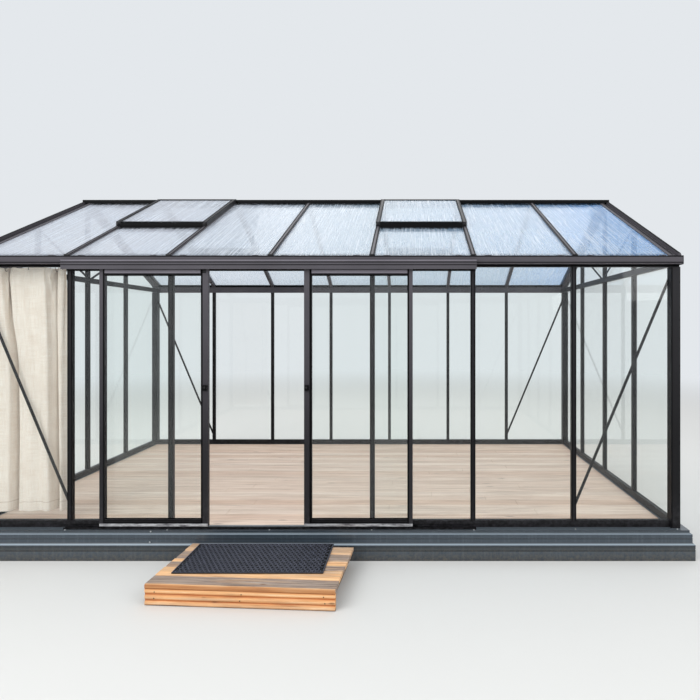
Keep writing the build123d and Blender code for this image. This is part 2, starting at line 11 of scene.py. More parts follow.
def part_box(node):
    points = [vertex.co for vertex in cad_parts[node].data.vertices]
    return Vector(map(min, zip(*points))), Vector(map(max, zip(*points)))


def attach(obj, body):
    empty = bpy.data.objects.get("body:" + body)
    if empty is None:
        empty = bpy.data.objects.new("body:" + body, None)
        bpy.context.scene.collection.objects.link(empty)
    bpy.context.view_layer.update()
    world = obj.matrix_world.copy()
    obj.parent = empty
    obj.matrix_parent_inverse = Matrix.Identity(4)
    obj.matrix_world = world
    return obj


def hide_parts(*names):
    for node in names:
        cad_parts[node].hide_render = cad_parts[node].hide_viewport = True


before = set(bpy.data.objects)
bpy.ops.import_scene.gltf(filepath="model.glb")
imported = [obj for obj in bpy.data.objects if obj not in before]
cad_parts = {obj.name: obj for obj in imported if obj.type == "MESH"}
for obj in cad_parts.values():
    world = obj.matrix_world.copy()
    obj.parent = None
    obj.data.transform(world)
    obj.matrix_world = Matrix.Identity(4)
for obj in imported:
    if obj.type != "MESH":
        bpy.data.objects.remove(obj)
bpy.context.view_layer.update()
scene = bpy.context.scene
random.seed(11)

# camera: worked out from the posts, the ridge and the roof bars
viewpoint = {"place": (0.657, -5.478, 1.6355), "lens": 28.70, "sensor": 36.0, "shift": (-0.0903, -0.0309)}
cameraData = bpy.data.cameras.new("gardenView")
cameraData.lens = viewpoint["lens"]
cameraData.sensor_width = viewpoint["sensor"]
cameraData.shift_x, cameraData.shift_y = viewpoint["shift"]
camera = bpy.data.objects.new("gardenView", cameraData)
camera.location = viewpoint["place"]
camera.rotation_euler = (math.radians(90), 0, 0)
scene.collection.objects.link(camera)
scene.camera = camera
print("camera placed")


# small helpers
def linear(hexColour, alpha=1.0):
    # an sRGB hex value as the linear numbers that a socket takes
    parts = [int(hexColour[i:i + 2], 16) / 255 for i in (1, 3, 5)]
    return [p / 12.92 if p <= 0.04045 else ((p + 0.055) / 1.055) ** 2.4 for p in parts] + [alpha]


def addNode(tree, kind, values=None):
    # one node: a key that names a socket sets it, or links it to the node or output given; any other key is a
    # property of the node
    node = tree.nodes.new("ShaderNode" + kind)
    for key, value in (values or {}).items():
        if isinstance(value, bpy.types.Node):
            value = next(output for output in value.outputs if output.enabled)
        if isinstance(value, str) and value.startswith("#"):
            value = linear(value)
        if isinstance(value, bpy.types.NodeSocket):
            tree.links.new(value, node.inputs[key])
        elif key == "stops":
            ramp = node.color_ramp
            while len(ramp.elements) < len(value):
                ramp.elements.new(1.0)
            for element, (place, colour) in zip(ramp.elements, value):
                element.position = place
                element.color = linear(colour)
        elif isinstance(key, int) or key in node.inputs:
            node.inputs[key].default_value = value
        else:
            setattr(node, key, value)
    return node


def startNodes(owner):
    # empties a material's or a world's nodes, and gives the function that adds one there
    owner.use_nodes = True
    owner.node_tree.nodes.clear()
    return partial(addNode, owner.node_tree)


def newFinish(name):
    # a material, the function that adds a node to it, and the place on the object that its patterns go by
    finish = bpy.data.materials.new(name)
    add = startNodes(finish)
    return finish, add, add("TexCoord").outputs["Object"]


def leaveEdit():
    if bpy.context.object and bpy.context.object.mode != "OBJECT":
        bpy.ops.object.mode_set(mode="OBJECT")
    bpy.ops.object.select_all(action="DESELECT")


def makeActive(piece):
    leaveEdit()
    piece.select_set(True)
    bpy.context.view_layer.objects.active = piece


def pick(piece, kind, test=None):
    # in edit mode, selects the edges or faces that pass the test, or all of them, and nothing else
    if piece.mode != "EDIT":
        makeActive(piece)
        bpy.ops.object.mode_set(mode="EDIT")
    bpy.ops.mesh.select_mode(type=kind)
    bpy.ops.mesh.select_all(action="DESELECT" if test else "SELECT")
    if test:
        shape = bmesh.from_edit_mesh(piece.data)
        for part in {"EDGE": shape.edges, "FACE": shape.faces}[kind]:
            if test(part):
                part.select_set(True)
        shape.select_flush_mode()
        bmesh.update_edit_mesh(piece.data)


def middle(part):
    return sum((corner.co for corner in part.verts), Vector()) / len(part.verts)


def runsAlong(edge, axis):
    run = edge.verts[1].co - edge.verts[0].co
    return abs(run[axis]) > 0.99 * run.length


def placeInMesh(piece):
    makeActive(piece)
    bpy.ops.object.transform_apply(location=True, rotation=True, scale=True)
    return piece


def addBlock(low, high):
    # a block at its size and place, to be shaped in edit mode
    leaveEdit()
    centre = [(a + b) / 2 for a, b in zip(low, high)]
    bpy.ops.mesh.primitive_cube_add(size=1, location=centre, scale=[b - a for a, b in zip(low, high)])
    return placeInMesh(bpy.context.object)


def addCylinder(sides, radius, depth, spot=(0, 0, 0), turn=(0, 0, 0)):
    leaveEdit()
    bpy.ops.mesh.primitive_cylinder_add(vertices=sides, radius=radius, depth=depth, location=spot, rotation=turn)
    return placeInMesh(bpy.context.object)


def bevelAll(piece, offset, segments=2, test=None):
    pick(piece, "EDGE", test)
    bpy.ops.mesh.bevel(offset=offset, segments=segments, affect="EDGES")
    leaveEdit()
    return piece


def copyPiece(piece, shift=(0, 0, 0), matrix=None):
    # a copy with its own mesh, moved in its mesh
    twin = piece.copy()
    twin.data = piece.data.copy()
    scene.collection.objects.link(twin)
    twin.data.transform(Matrix.Translation(shift) @ (matrix or Matrix.Identity(4)))
    return twin


def joinPieces(parts):
    leaveEdit()
    for part in parts:
        part.select_set(True)
    bpy.context.view_layer.objects.active = parts[0]
    if len(parts) > 1:
        bpy.ops.object.join()
    return bpy.context.object


def placeCopies(master, places):
    # one copy of the master at each shift and turn, joined, and the master removed
    copies = [copyPiece(master, shift, matrix) for shift, matrix in places]
    bpy.data.objects.remove(master)
    return joinPieces(copies)


def toSide(side):
    # turns what was made for the door side to the rear
    return Matrix.Rotation(0 if side < 0 else math.pi, 4, "Z")


def applyModifiers(piece):
    makeActive(piece)
    for modifier in list(piece.modifiers):
        bpy.ops.object.modifier_apply(modifier=modifier.name)
    return piece


def settle(piece, name, finish, body="greenhouse", smooth=40):
    # names the piece, gives it its finish, and lets it move with its body
    piece.name = name
    piece.data.name = name
    piece.data.materials.clear()
    piece.data.materials.append(finish)
    if smooth:
        makeActive(piece)
        bpy.ops.object.shade_smooth_by_angle(angle=math.radians(smooth))
    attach(piece, body)
    return piece


def dress(names, finish):
    # a CAD node keeps its shape and gets a better finish
    for name in names:
        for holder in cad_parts[name].material_slots:
            holder.material = finish


# finishes
def powderCoat(name, dark, light, gloss=0.14, dust=0.16, foot=0.5):
    # polyester powder coat on aluminium extrusions: satin, with a faint orange peel and dusty on top; painted shade
    # darkens it towards the ground, so that foot is the share of its tone left near the ground
    finish, add, place = newFinish(name)
    peel = add("TexNoise", {"Scale": 160.0, "Vector": place})  # 6 mm, real waves are finer
    patches = add("TexNoise", {"Scale": 2.6, "Detail": 6.0, "Roughness": 0.62, "Vector": place})
    speckle = add("TexNoise", {"Scale": 38.0, "Detail": 5.0, "Roughness": 0.7, "Vector": place})
    tone = add("Mix", {"data_type": "RGBA", 6: dark, 7: light, 0: patches})
    height = add("SeparateXYZ", {0: place})
    low = add("MapRange", {"From Min": 0.45, "From Max": 0.2, "To Max": 0.22, "Value": height.outputs["Z"]})
    facing = add("SeparateXYZ", {0: add("NewGeometry").outputs["Normal"]})
    flat = add("MapRange", {"From Min": 0.5, "To Max": dust, "Value": facing.outputs["Z"]})
    dusty = add("Math", {"operation": "ADD", 0: low, 1: flat})
    grit = add("MapRange", {"From Min": 0.4, "From Max": 0.75, "Value": speckle})
    dustShare = add("Math", {"operation": "MULTIPLY", 0: dusty, 1: grit})
    # painted shade: the tone darkens from the eaves down to foot near the ground
    paintedShadeByHeight = add("MapRange", {"From Min": 0.8, "From Max": 1.95, "To Min": foot, "Value": height.outputs["Z"]})
    shaded = add("Mix", {"data_type": "RGBA", "blend_type": "MULTIPLY", 0: 1.0, 6: tone, 7: paintedShadeByHeight})
    coloured = add("Mix", {"data_type": "RGBA", 7: "#68676D", 0: dustShare, 6: shaded})
    rough = add("MapRange", {"To Min": 0.36, "To Max": 0.54, "Value": patches})
    bump = add("Bump", {"Strength": 0.10, "Distance": 0.0006, "Height": peel})
    shader = add("BsdfPrincipled", {"IOR": 1.5, "Specular IOR Level": gloss, "Base Color": coloured,
                                    "Roughness": rough, "Normal": bump})
    add("OutputMaterial", {"Surface": shader})
    return finish


# foot sets how dark the painted shade leaves each coat near the ground
frameCoat = powderCoat("anthracitePowderCoat", "#1B1A1D", "#29282B", foot=0.4)
paleCoat = powderCoat("paintedLightPowderCoat", "#434145", "#57545A", foot=0.24)  # painted light: a paler copy of the frame coat for the parts that catch the sky
gutterCoat = powderCoat("paintedLightGutterCoat", "#454247", "#545156")  # painted light: a paler copy of the frame coat for the gutters
paintedHighlightCoat = powderCoat("paintedHighlightPowderCoat", "#6F6B74", "#858189")  # painted highlight: a pale copy of the frame coat laid along edges
# near black: partly the coat's own dark, partly painted shade on the ridge cap and vent rails, whose fronts lie in
# shadow
blackAndShadowCoat = powderCoat("blackAndShadowPowderCoat", "#060607", "#0D0D0F", gloss=0.08, dust=0.03)

# blue-grey coil coating, folded steel: smooth satin, painted highlight on ledges and shade in folds, splashed at the
# ground
baseCoat, add, place = newFinish("blueGreyCoilCoating")
patches = add("TexNoise", {"Scale": 3.0, "Detail": 6.0, "Roughness": 0.6, "Vector": place})
streakPlace = add("Mapping", {"Scale": (55.0, 55.0, 2.5), "Vector": place})
streaks = add("TexNoise", {"Scale": 1.0, "Detail": 3.0, "Vector": streakPlace})
splash = add("TexNoise", {"Scale": 45.0, "Detail": 8.0, "Roughness": 0.75, "Vector": place})
tone = add("Mix", {"data_type": "RGBA", 6: "#333D47", 7: "#434F5A", 0: patches})
height = add("SeparateXYZ", {0: place})
low = add("MapRange", {"From Min": 0.115, "From Max": 0.0, "To Max": 0.75, "Value": height.outputs["Z"]})
grit = add("MapRange", {"From Min": 0.42, "From Max": 0.7, "Value": splash})
muddy = add("Math", {"operation": "MULTIPLY", 0: low, 1: grit})
runs = add("MapRange", {"From Min": 0.5, "From Max": 0.8, "To Max": 0.3, "Value": streaks})
washed = add("Mix", {"data_type": "RGBA", 7: "#66727B", 0: runs, 6: tone})
facing = add("SeparateXYZ", {0: add("NewGeometry").outputs["Normal"]})
ledgeHighlightShare = add("MapRange", {"From Min": 0.3, "From Max": 0.55, "To Max": 0.85, "Value": facing.outputs["Z"]})
ledgeHighlight = add("Mix", {"data_type": "RGBA", 7: "#97A5B0", 0: ledgeHighlightShare, 6: washed})  # painted highlight: the sky's reflection on the sloping ledges
upShare = add("Math", {"operation": "DIVIDE", 1: 0.205, 0: height.outputs["Z"]})  # of the base's 205 mm
foldShadeStops, below = [(0.0, "#9A9A9A")], "#F0F0F0"
for crease, creaseShade, above in ((0.342, "#2E2E2E", "#C0B9AF"), (0.482, "#5A5856", "#F4F4F4"),
                            (0.594, "#7C7C7C", "#E2E2E2"), (0.735, "#9C9C9C", "#E4E4E4"),
                            (0.924, "#8A8A8A", "#E6E6E6")):
    foldShadeStops += [(crease - 0.03, below), (crease - 0.014, creaseShade), (crease + 0.014, creaseShade), (crease + 0.03, above)]
    below = above
folds = add("ValToRGB", {"stops": foldShadeStops + [(1.0, "#707070")], 0: upShare})
# painted shade: dark lines where the folds and lips of the sheet cast shadow
paintedShadeLined = add("Mix", {"data_type": "RGBA", "blend_type": "MULTIPLY", 0: 0.85, 6: ledgeHighlight, 7: folds})
coloured = add("Mix", {"data_type": "RGBA", 7: "#6B6353", 0: muddy, 6: paintedShadeLined})
rough = add("MapRange", {"To Min": 0.26, "To Max": 0.46, "Value": patches})
shader = add("BsdfPrincipled", {"IOR": 1.5, "Coat Weight": 0.25, "Coat Roughness": 0.2, "Base Color": coloured,
                                "Roughness": rough})
add("OutputMaterial", {"Surface": shader})


def mirrorPane(add, tint, headOn, slant, polish):
    # clear glass that mirrors more the flatter it is looked at, by Schlick's rule from its share head-on
    clear = add("BsdfTransparent", {"Color": tint})
    mirror = add("BsdfGlossy", polish)
    steep = add("Math", {"operation": "POWER", 1: 5.0, 0: slant.outputs["Facing"]})
    mirrorShare = add("MapRange", {"To Min": headOn, "Value": steep})
    return add("MixShader", {0: mirrorShare, 1: clear, 2: mirror})


# clear float glass: mirrors a little more the flatter it is looked at, with a breath of dust on it
clearGlass, add, place = newFinish("clearFloatGlass")
smear = add("TexNoise", {"Scale": 3.5, "Detail": 7.0, "Roughness": 0.65, "Vector": place})
pane = mirrorPane(add, (0.982, 0.994, 0.989, 1), 0.025, add("LayerWeight"), {"Roughness": 0.015})
dust = add("BsdfDiffuse", {"Color": "#D9DEDC"})
thin = add("MapRange", {"From Min": 0.45, "From Max": 0.8, "To Max": 0.014, "Value": smear})
whole = add("MixShader", {0: thin, 1: pane, 2: dust})
add("OutputMaterial", {"Surface": whole})

# the roof's glass after rain: drops and runs down the slope scatter the sky, pale and faintly blue
wetGlass, add, place = newFinish("rainWetFloatGlass")
spot = add("SeparateXYZ", {0: place})
runPlace = add("Mapping", {"Scale": (100.0, 2.2, 2.2), "Vector": place})  # runs 10 mm apart
waterRuns = add("TexNoise", {"Scale": 1.0, "Detail": 3.0, "Roughness": 0.55, "Distortion": 0.08, "Vector": runPlace})
drops = add("TexVoronoi", {"Scale": 60.0, "Vector": place})  # drops 16 mm apart
sheetsOfWater = add("TexNoise", {"Scale": 1.7, "Detail": 3.0, "Vector": place})
runShare = add("MapRange", {"From Min": 0.48, "From Max": 0.62, "Value": waterRuns})
dropShare = add("MapRange", {"From Min": 0.36, "From Max": 0.2, "Value": drops})
wet = add("Math", {"operation": "MAXIMUM", 0: runShare, 1: dropShare})
patchy = add("MapRange", {"From Min": 0.3, "From Max": 0.7, "To Min": 0.45, "Value": sheetsOfWater})
wetShare = add("Math", {"operation": "MULTIPLY", 0: wet, 1: patchy})
slant = add("LayerWeight")
# the film of water veils more the flatter it is looked through
film = add("MapRange", {"From Min": 0.3, "From Max": 0.8, "To Min": 0.1, "To Max": 0.42,
                        "Value": slant.outputs["Facing"]})
dropVeil = add("MapRange", {"To Max": 0.32, "Value": wetShare})
haze = add("Math", {"operation": "ADD", "use_clamp": True, 0: film, 1: dropVeil})
bump = add("Bump", {"Strength": 0.3, "Distance": 0.002, "Height": wet})
pane = mirrorPane(add, (0.95, 0.975, 0.99, 1), 0.04, slant, {"Roughness": 0.05, "Normal": bump})
skyReflectionLean = add("MapRange", {"From Min": -1.5, "From Max": 2.6, "Value": spot.outputs["X"]})
patchySkyReflectionLean = add("Mix", {0: 0.12, 2: skyReflectionLean, 3: sheetsOfWater})
skyReflectionTone = add("ValToRGB", {"stops": [(0.0, "#E8EBF7"), (0.45, "#A6BED2"), (0.75, "#8AB0D6"), (1.0, "#3FA8FF")],
                            0: patchySkyReflectionLean})  # painted reflection: the sky's tone in the film, bluer to one end
skyTone = add("Mix", {"data_type": "RGBA", 7: "#E8F0FA", 0: wetShare, 6: skyReflectionTone})
water = add("BsdfPrincipled", {"Roughness": 0.3, "IOR": 1.33, "Base Color": skyTone, "Normal": bump})
glow = add("BsdfTranslucent", {"Color": skyTone})
scatter = add("MixShader", {0: 0.55, 1: water, 2: glow})
veiled = add("MixShader", {0: haze, 1: pane, 2: scatter})
# painted reflection: the dark ridge cap and the vents' lower rails mirrored in the wet glass below them, in short
# dark runs
fromRidge = add("Math", {"operation": "ABSOLUTE", 0: spot.outputs["Y"]})
fromVent = add("Math", {"operation": "ADD", 1: 1.45, 0: spot.outputs["X"]})  # the vents are three bays apart
bayPlace = add("Math", {"operation": "PINGPONG", 1: 1.0875, 0: fromVent})
underVent = add("Math", {"operation": "LESS_THAN", 1: 0.3625, 0: bayPlace})
start = add("MapRange", {"To Min": 0.026, "To Max": 0.802, "Value": underVent})
washed = add("Math", {"operation": "SUBTRACT", 0: fromRidge, 1: start})
mirroredDarkPlace = add("Mapping", {"Scale": (150.0, 9.0, 9.0), "Vector": place})
mirroredDarkRuns = add("TexNoise", {"Scale": 1.0, "Detail": 3.0, "Roughness": 0.7, "Vector": mirroredDarkPlace})
reach = add("MapRange", {"From Min": 0.32, "From Max": 0.68, "To Min": 0.012, "To Max": 0.085, "Value": mirroredDarkRuns})
inside = add("Math", {"operation": "GREATER_THAN", 1: 0.0, 0: washed})
nearBy = add("Math", {"operation": "SUBTRACT", 0: reach, 1: washed})
thick = add("MapRange", {"From Max": 0.035, "To Max": 0.95, "Value": nearBy})
mirroredDarkShare = add("Math", {"operation": "MULTIPLY", 0: inside, 1: thick})
mirroredDark = add("BsdfDiffuse", {"Color": "#0C0D10"})
whole = add("MixShader", {0: mirroredDarkShare, 1: veiled, 2: mirroredDark})
add("OutputMaterial", {"Surface": whole})

# limed larch floor boards: brushed grain along X, each board its own tone, a whitish wash left in the grain
limed, add, place = newFinish("brushedLimedLarch")
boardRow = 0.11812  # a board and its gap
spot = add("SeparateXYZ", {0: place})
fromEdge = add("Math", {"operation": "ADD", 1: 1.4175, 0: spot.outputs["Y"]})  # the floor's front edge
rowPlace = add("Math", {"operation": "DIVIDE", 1: boardRow, 0: fromEdge})
rowNumber = add("Math", {"operation": "FLOOR", 0: rowPlace})
rowTone = add("TexWhiteNoise", {"noise_dimensions": "1D", "W": rowNumber})
grainPlace = add("Mapping", {"Scale": (2.2, 70.0, 70.0), "Vector": place})  # grain 14 mm wide
grain = add("TexNoise", {"Scale": 1.0, "Detail": 6.0, "Roughness": 0.62, "Distortion": 0.6, "Vector": grainPlace})
longPlace = add("Mapping", {"Scale": (0.8, 9.0, 9.0), "Vector": place})
longTone = add("TexNoise", {"Scale": 1.0, "Detail": 4.0, "Vector": longPlace})
knotPlace = add("Mapping", {"Scale": (2.0, 8.5, 8.5), "Vector": place})
knots = add("TexVoronoi", {"Scale": 1.0, "Vector": knotPlace})
knotShare = add("MapRange", {"From Min": 0.10, "From Max": 0.03, "To Max": 0.7, "Value": knots})
wood = add("ValToRGB", {"stops": [(0.28, "#B79F8F"), (0.46, "#DCC5B3"), (0.62, "#EDDAC9"), (0.8, "#F7ECDE")],
                        0: grain})
boardTone = add("Mix", {"data_type": "RGBA", 6: "#E5CCBB", 7: "#FFFFFF", 0: rowTone})
toned = add("Mix", {"data_type": "RGBA", "blend_type": "MULTIPLY", 0: 0.55, 6: wood, 7: boardTone})
worn = add("MapRange", {"From Min": 0.5, "From Max": 0.85, "To Max": 0.6, "Value": longTone})
aged = add("Mix", {"data_type": "RGBA", 7: "#B29B8A", 0: worn, 6: toned})
coloured = add("Mix", {"data_type": "RGBA", 7: "#7A665A", 0: knotShare, 6: aged})
bump = add("Bump", {"Strength": 0.3, "Distance": 0.0015, "Height": grain})
rough = add("MapRange", {"To Min": 0.72, "To Max": 0.5, "Value": grain})
shader = add("BsdfPrincipled", {"IOR": 1.48, "Base Color": coloured, "Roughness": rough, "Normal": bump})
add("OutputMaterial", {"Surface": shader})

# rough-sawn pine joists: saw marks across, dull and yellowish
sawn, add, place = newFinish("roughSawnPine")
grainPlace = add("Mapping", {"Scale": (60.0, 2.0, 60.0), "Vector": place})
grain = add("TexNoise", {"Scale": 1.0, "Detail": 5.0, "Distortion": 0.5, "Vector": grainPlace})
sawMarks = add("TexWave", {"Scale": 28.0, "bands_direction": "Y", "Distortion": 1.5, "Vector": place})
wood = add("ValToRGB", {"stops": [(0.3, "#7A5C3C"), (0.55, "#A58558"), (0.8, "#BFA173")], 0: grain})
bump = add("Bump", {"Strength": 0.25, "Distance": 0.001, "Height": sawMarks.outputs["Fac"]})
shader = add("BsdfPrincipled", {"Roughness": 0.82, "Base Color": wood, "Normal": bump})
add("OutputMaterial", {"Surface": shader})


def weatheredWood(name, turn, bands):
    # planed softwood left outdoors: silvered brown grain, warm orange where feet and rain wear it bare
    finish, add, place = newFinish(name)
    inStep = add("Mapping", {"vector_type": "TEXTURE", "Location": turn[0], "Rotation": (0, 0, turn[1]),
                             "Vector": place})
    grainPlace = add("Mapping", {"Scale": (3.0, 85.0, 85.0), "Vector": inStep})
    grain = add("TexNoise", {"Scale": 1.0, "Detail": 7.0, "Roughness": 0.65, "Distortion": 0.5, "Vector": grainPlace})
    blotchPlace = add("Mapping", {"Scale": (3.2, 26.0, 26.0), "Vector": inStep})
    blotches = add("TexNoise", {"Scale": 1.0, "Detail": 4.0, "Roughness": 0.6, "Vector": blotchPlace})
    knotPlace = add("Mapping", {"Scale": (5.0, 16.0, 16.0), "Vector": inStep})
    knots = add("TexVoronoi", {"Scale": 1.0, "Vector": knotPlace})
    knotShare = add("MapRange", {"From Min": 0.13, "From Max": 0.05, "To Max": 0.7, "Value": knots})
    grey = add("ValToRGB", {"stops": [(0.3, "#5E4F46"), (0.46, "#8C7A6E"), (0.6, "#A8978A"), (0.74, "#C6B8AB")],
                            0: grain})
    warm = add("ValToRGB", {"stops": [(0.28, "#CB9263"), (0.5, "#EDBB88"), (0.75, "#FCDDB4")], 0: grain})
    spot = add("SeparateXYZ", {0: inStep})
    along = spot.outputs[bands["axis"]]
    share = add("MapRange", {"From Min": bands["low"], "From Max": bands["high"], "Value": along})
    bare = add("ValToRGB", {"stops": bands["bare"], 0: share})
    patched = add("MapRange", {"From Min": 0.3, "From Max": 0.7, "To Min": -0.35, "To Max": 0.35, "Value": blotches})
    bareShare = add("Math", {"operation": "ADD", "use_clamp": True, 0: bare, 1: patched})
    both = add("Mix", {"data_type": "RGBA", 0: bareShare, 6: grey, 7: warm})
    # painted shade in bands: darker in the fascia's grooves and under the deck's nose, on the deck's front face, and
    # on the bearers
    lines = add("ValToRGB", {"stops": bands["lines"], 0: share})
    paintedShadeLined = add("Mix", {"data_type": "RGBA", "blend_type": "MULTIPLY", 0: 1.0, 6: both, 7: lines})
    coloured = add("Mix", {"data_type": "RGBA", 7: "#6B432A", 0: knotShare, 6: paintedShadeLined})
    bump = add("Bump", {"Strength": 0.4, "Distance": 0.0015, "Height": grain})
    shader = add("BsdfPrincipled", {"Roughness": 0.78, "Specular IOR Level": 0.3, "Base Color": coloured,
                                    "Normal": bump})
    add("OutputMaterial", {"Surface": shader})
    return finish


doorstep = {"corner": (-0.889, -1.5555, 0.0), "turn": math.radians(-3.7), "length": 1.138, "depth": 0.633,
            "boards": 5, "gap": 0.004, "reeds": (0.0315, 0.0675), "bearer": 0.045, "inset": 0.04, "nosing": 0.003}
stepTurn = (doorstep["corner"], doorstep["turn"])
greyDeck = weatheredWood("weatheredDeckBoards", stepTurn, {
    "axis": "Y", "low": -doorstep["depth"], "high": 0.0,
    "lines": [(0.0, "#C6B09F"), (0.004, "#C6B09F"), (0.014, "#FFFFFF")],
    "bare": [(0.0, "#FFFFFF"), (0.012, "#E6E6E6"), (0.02, "#202020"), (0.19, "#101010"), (0.21, "#F0F0F0"),
             (0.38, "#D8D8D8"), (0.40, "#101010"), (0.50, "#202020"), (0.52, "#FFFFFF"), (0.60, "#D0D0D0"),
             (0.62, "#181818"), (0.78, "#303030"), (0.81, "#C8C8C8"), (1.0, "#606060")]})
warmDeck = weatheredWood("reededFasciaBoard", stepTurn, {
    "axis": "Z", "low": 0.0, "high": 0.1, "bare": [(0.0, "#707070"), (0.12, "#E0E0E0"), (1.0, "#FFFFFF")],
    # painted shade in the reeds' grooves, at the foot and under the deck's nose
    "lines": [(0.0, "#B49A84"), (0.08, "#F0E4D8"), (0.14, "#FFFFFF"), (0.25, "#F0DCC8"), (0.31, "#B87848"),
              (0.37, "#F4E0CC"), (0.46, "#FFFFFF"), (0.60, "#F0DCC8"), (0.675, "#B87848"), (0.74, "#F4E0CC"),
              (0.82, "#FFFFFF"), (0.94, "#F0DCC8"), (1.0, "#A06A42")]})
shadedTimber = weatheredWood("shadedBearerTimber", stepTurn, {
    "axis": "Z", "low": 0.0, "high": 0.1, "bare": [(0.0, "#FFFFFF"), (1.0, "#FFFFFF")],
    "lines": [(0.0, "#7A6656"), (1.0, "#4A3C32")]})

# moulded rubber: near black, dull, lighter on top with dust and a painted highlight
rubber, add, place = newFinish("mouldedBlackRubber")
mottle = add("TexNoise", {"Scale": 30.0, "Detail": 6.0, "Vector": place})
facing = add("SeparateXYZ", {0: add("NewGeometry").outputs["Normal"]})
top = add("MapRange", {"From Min": 0.3, "To Max": 0.8, "Value": facing.outputs["Z"]})
dustShare = add("Math", {"operation": "MULTIPLY", 0: top, 1: mottle})
height = add("SeparateXYZ", {0: place})
ringTopDustAndSheen = add("MapRange", {"From Min": 0.1325, "From Max": 0.1375, "Value": height.outputs["Z"]})
dustShare = add("Math", {"operation": "MULTIPLY", 0: dustShare, 1: ringTopDustAndSheen})  # dust and painted highlight on the mat's rings, not on the sheet below
coloured = add("Mix", {"data_type": "RGBA", 6: "#030306", 7: "#6C6F82", 0: dustShare})
rough = add("MapRange", {"To Min": 0.5, "To Max": 0.8, "Value": mottle})
shader = add("BsdfPrincipled", {"IOR": 1.5, "Base Color": coloured, "Roughness": rough})
add("OutputMaterial", {"Surface": shader})


def mottledFinish(name, dark, light, rough, mottle, surface, stretch=None, bare=None, grain=None):
    # one noise shades the surface between two colours and two roughnesses, and a finer one may roughen it
    finish, add, place = newFinish(name)
    mottlePlace = add("Mapping", {"Scale": stretch, "Vector": place}) if stretch else place
    share = add("TexNoise", {**mottle, "Vector": mottlePlace})
    if bare:
        share = add("MapRange", {"From Min": bare[0], "From Max": bare[1], "Value": share})
    coloured = add("Mix", {"data_type": "RGBA", 6: dark, 7: light, 0: share})
    shine = add("MapRange", {"To Min": rough[0], "To Max": rough[1], "Value": share})
    surface = {**surface, "Base Color": coloured, "Roughness": shine}
    if grain:
        grainy = add("TexNoise", {"Scale": 320.0, "Vector": place})
        surface["Normal"] = add("Bump", {**grain, "Height": grainy})
    add("OutputMaterial", {"Surface": add("BsdfPrincipled", surface)})
    return finish


# moulded nylon caps, clips and rollers: black with a fine spark-eroded grain
nylon = mottledFinish("mouldedBlackNylon", "#0C0C0E", "#1A1A1D", (0.38, 0.55), {"Scale": 12.0, "Detail": 4.0},
                      {"IOR": 1.53, "Specular IOR Level": 0.25}, grain={"Strength": 0.15, "Distance": 0.0004})
# extruded black sealing rubber: dead black, dull, with a slight bloom; also laid as painted shadow in grooves and
# gaps
rubberAndShadowBlack = mottledFinish("sealRubberAndShadowBlack", "#040405", "#0B0B0D", (0.55, 0.75), {"Scale": 22.0, "Detail": 5.0},
                           {"IOR": 1.5, "Specular IOR Level": 0.1})
# pale aluminium: patches of grey and bright metal, laid along the leaves' bottom edges
palePatchyAluminium = mottledFinish("palePatchyAluminiumFinish", "#5D5B5F", "#B4B5B7", (0.5, 0.34),
                        {"Scale": 1.0, "Detail": 6.0, "Roughness": 0.7}, {"Metallic": 0.3},
                        stretch=(9.0, 60.0, 60.0), bare=(0.4, 0.56))
# bright zinc-plated steel screws: pale metal, finely scuffed
zinc = mottledFinish("scuffedZincPlate", "#8F9194", "#D5D7D8", (0.25, 0.5),
                     {"Scale": 90.0, "Detail": 5.0, "Roughness": 0.7}, {"Metallic": 1.0})

# cream cotton canvas: plain weave with thick and thin threads, lets a little light through
canvas = bpy.data.materials.new("wovenCreamCotton")
add = startNodes(canvas)
cloth = add("UVMap", {"uv_map": "clothMetres"}).outputs[0]
warpPlace = add("Mapping", {"Scale": (240.0, 9.0, 1.0), "Vector": cloth})  # 4 mm slubs, threads 0.6 mm
warp = add("TexNoise", {"Scale": 1.0, "Detail": 3.0, "Vector": warpPlace})
weftPlace = add("Mapping", {"Scale": (9.0, 240.0, 1.0), "Vector": cloth})
weft = add("TexNoise", {"Scale": 1.0, "Detail": 3.0, "Vector": weftPlace})
threads = add("Math", {"operation": "ADD", 0: warp, 1: weft})
stain = add("TexNoise", {"Scale": 5.0, "Detail": 5.0, "Vector": cloth})
raisedThreads = add("MapRange", {"From Min": 0.7, "From Max": 1.25, "Value": threads})
woven = add("Mix", {"data_type": "RGBA", 6: "#EEE2D6", 7: "#FDF7F0", 0: raisedThreads})
stainShare = add("MapRange", {"From Min": 0.5, "From Max": 0.8, "To Max": 0.5, "Value": stain})
stained = add("Mix", {"data_type": "RGBA", 7: "#E6D8CB", 0: stainShare, 6: woven})
foldDepth = add("Attribute", {"attribute_name": "foldDepth"})
foldShadeShare = add("MapRange", {"From Min": 0.66, "To Max": 0.55, "Value": foldDepth.outputs["Fac"]})
paintedFoldShade = add("Mix", {"data_type": "RGBA", 7: "#967F6D", 0: foldShadeShare, 6: stained})  # painted shade: darker towards the back of each fold
clothUp = add("SeparateXYZ", {0: cloth})
pastStitch = add("Math", {"operation": "SUBTRACT", 1: 0.070, 0: clothUp.outputs["Y"]})
fromStitch = add("Math", {"operation": "ABSOLUTE", 0: pastStitch})
stitchCreaseShade = add("MapRange", {"From Min": 0.0042, "From Max": 0.0022, "To Max": 0.3, "Value": fromStitch})
coloured = add("Mix", {"data_type": "RGBA", 7: "#A8927E", 0: stitchCreaseShade, 6: paintedFoldShade})  # painted shade in the crease where the hem's stitches pull it in
creasePlace = add("Mapping", {"Scale": (5.0, 26.0, 1.0), "Vector": cloth})  # about 40 mm apart
creases = add("TexNoise", {"Scale": 1.0, "Detail": 4.0, "Roughness": 0.6, "Vector": creasePlace})
creased = add("Bump", {"Strength": 0.6, "Distance": 0.006, "Height": creases})
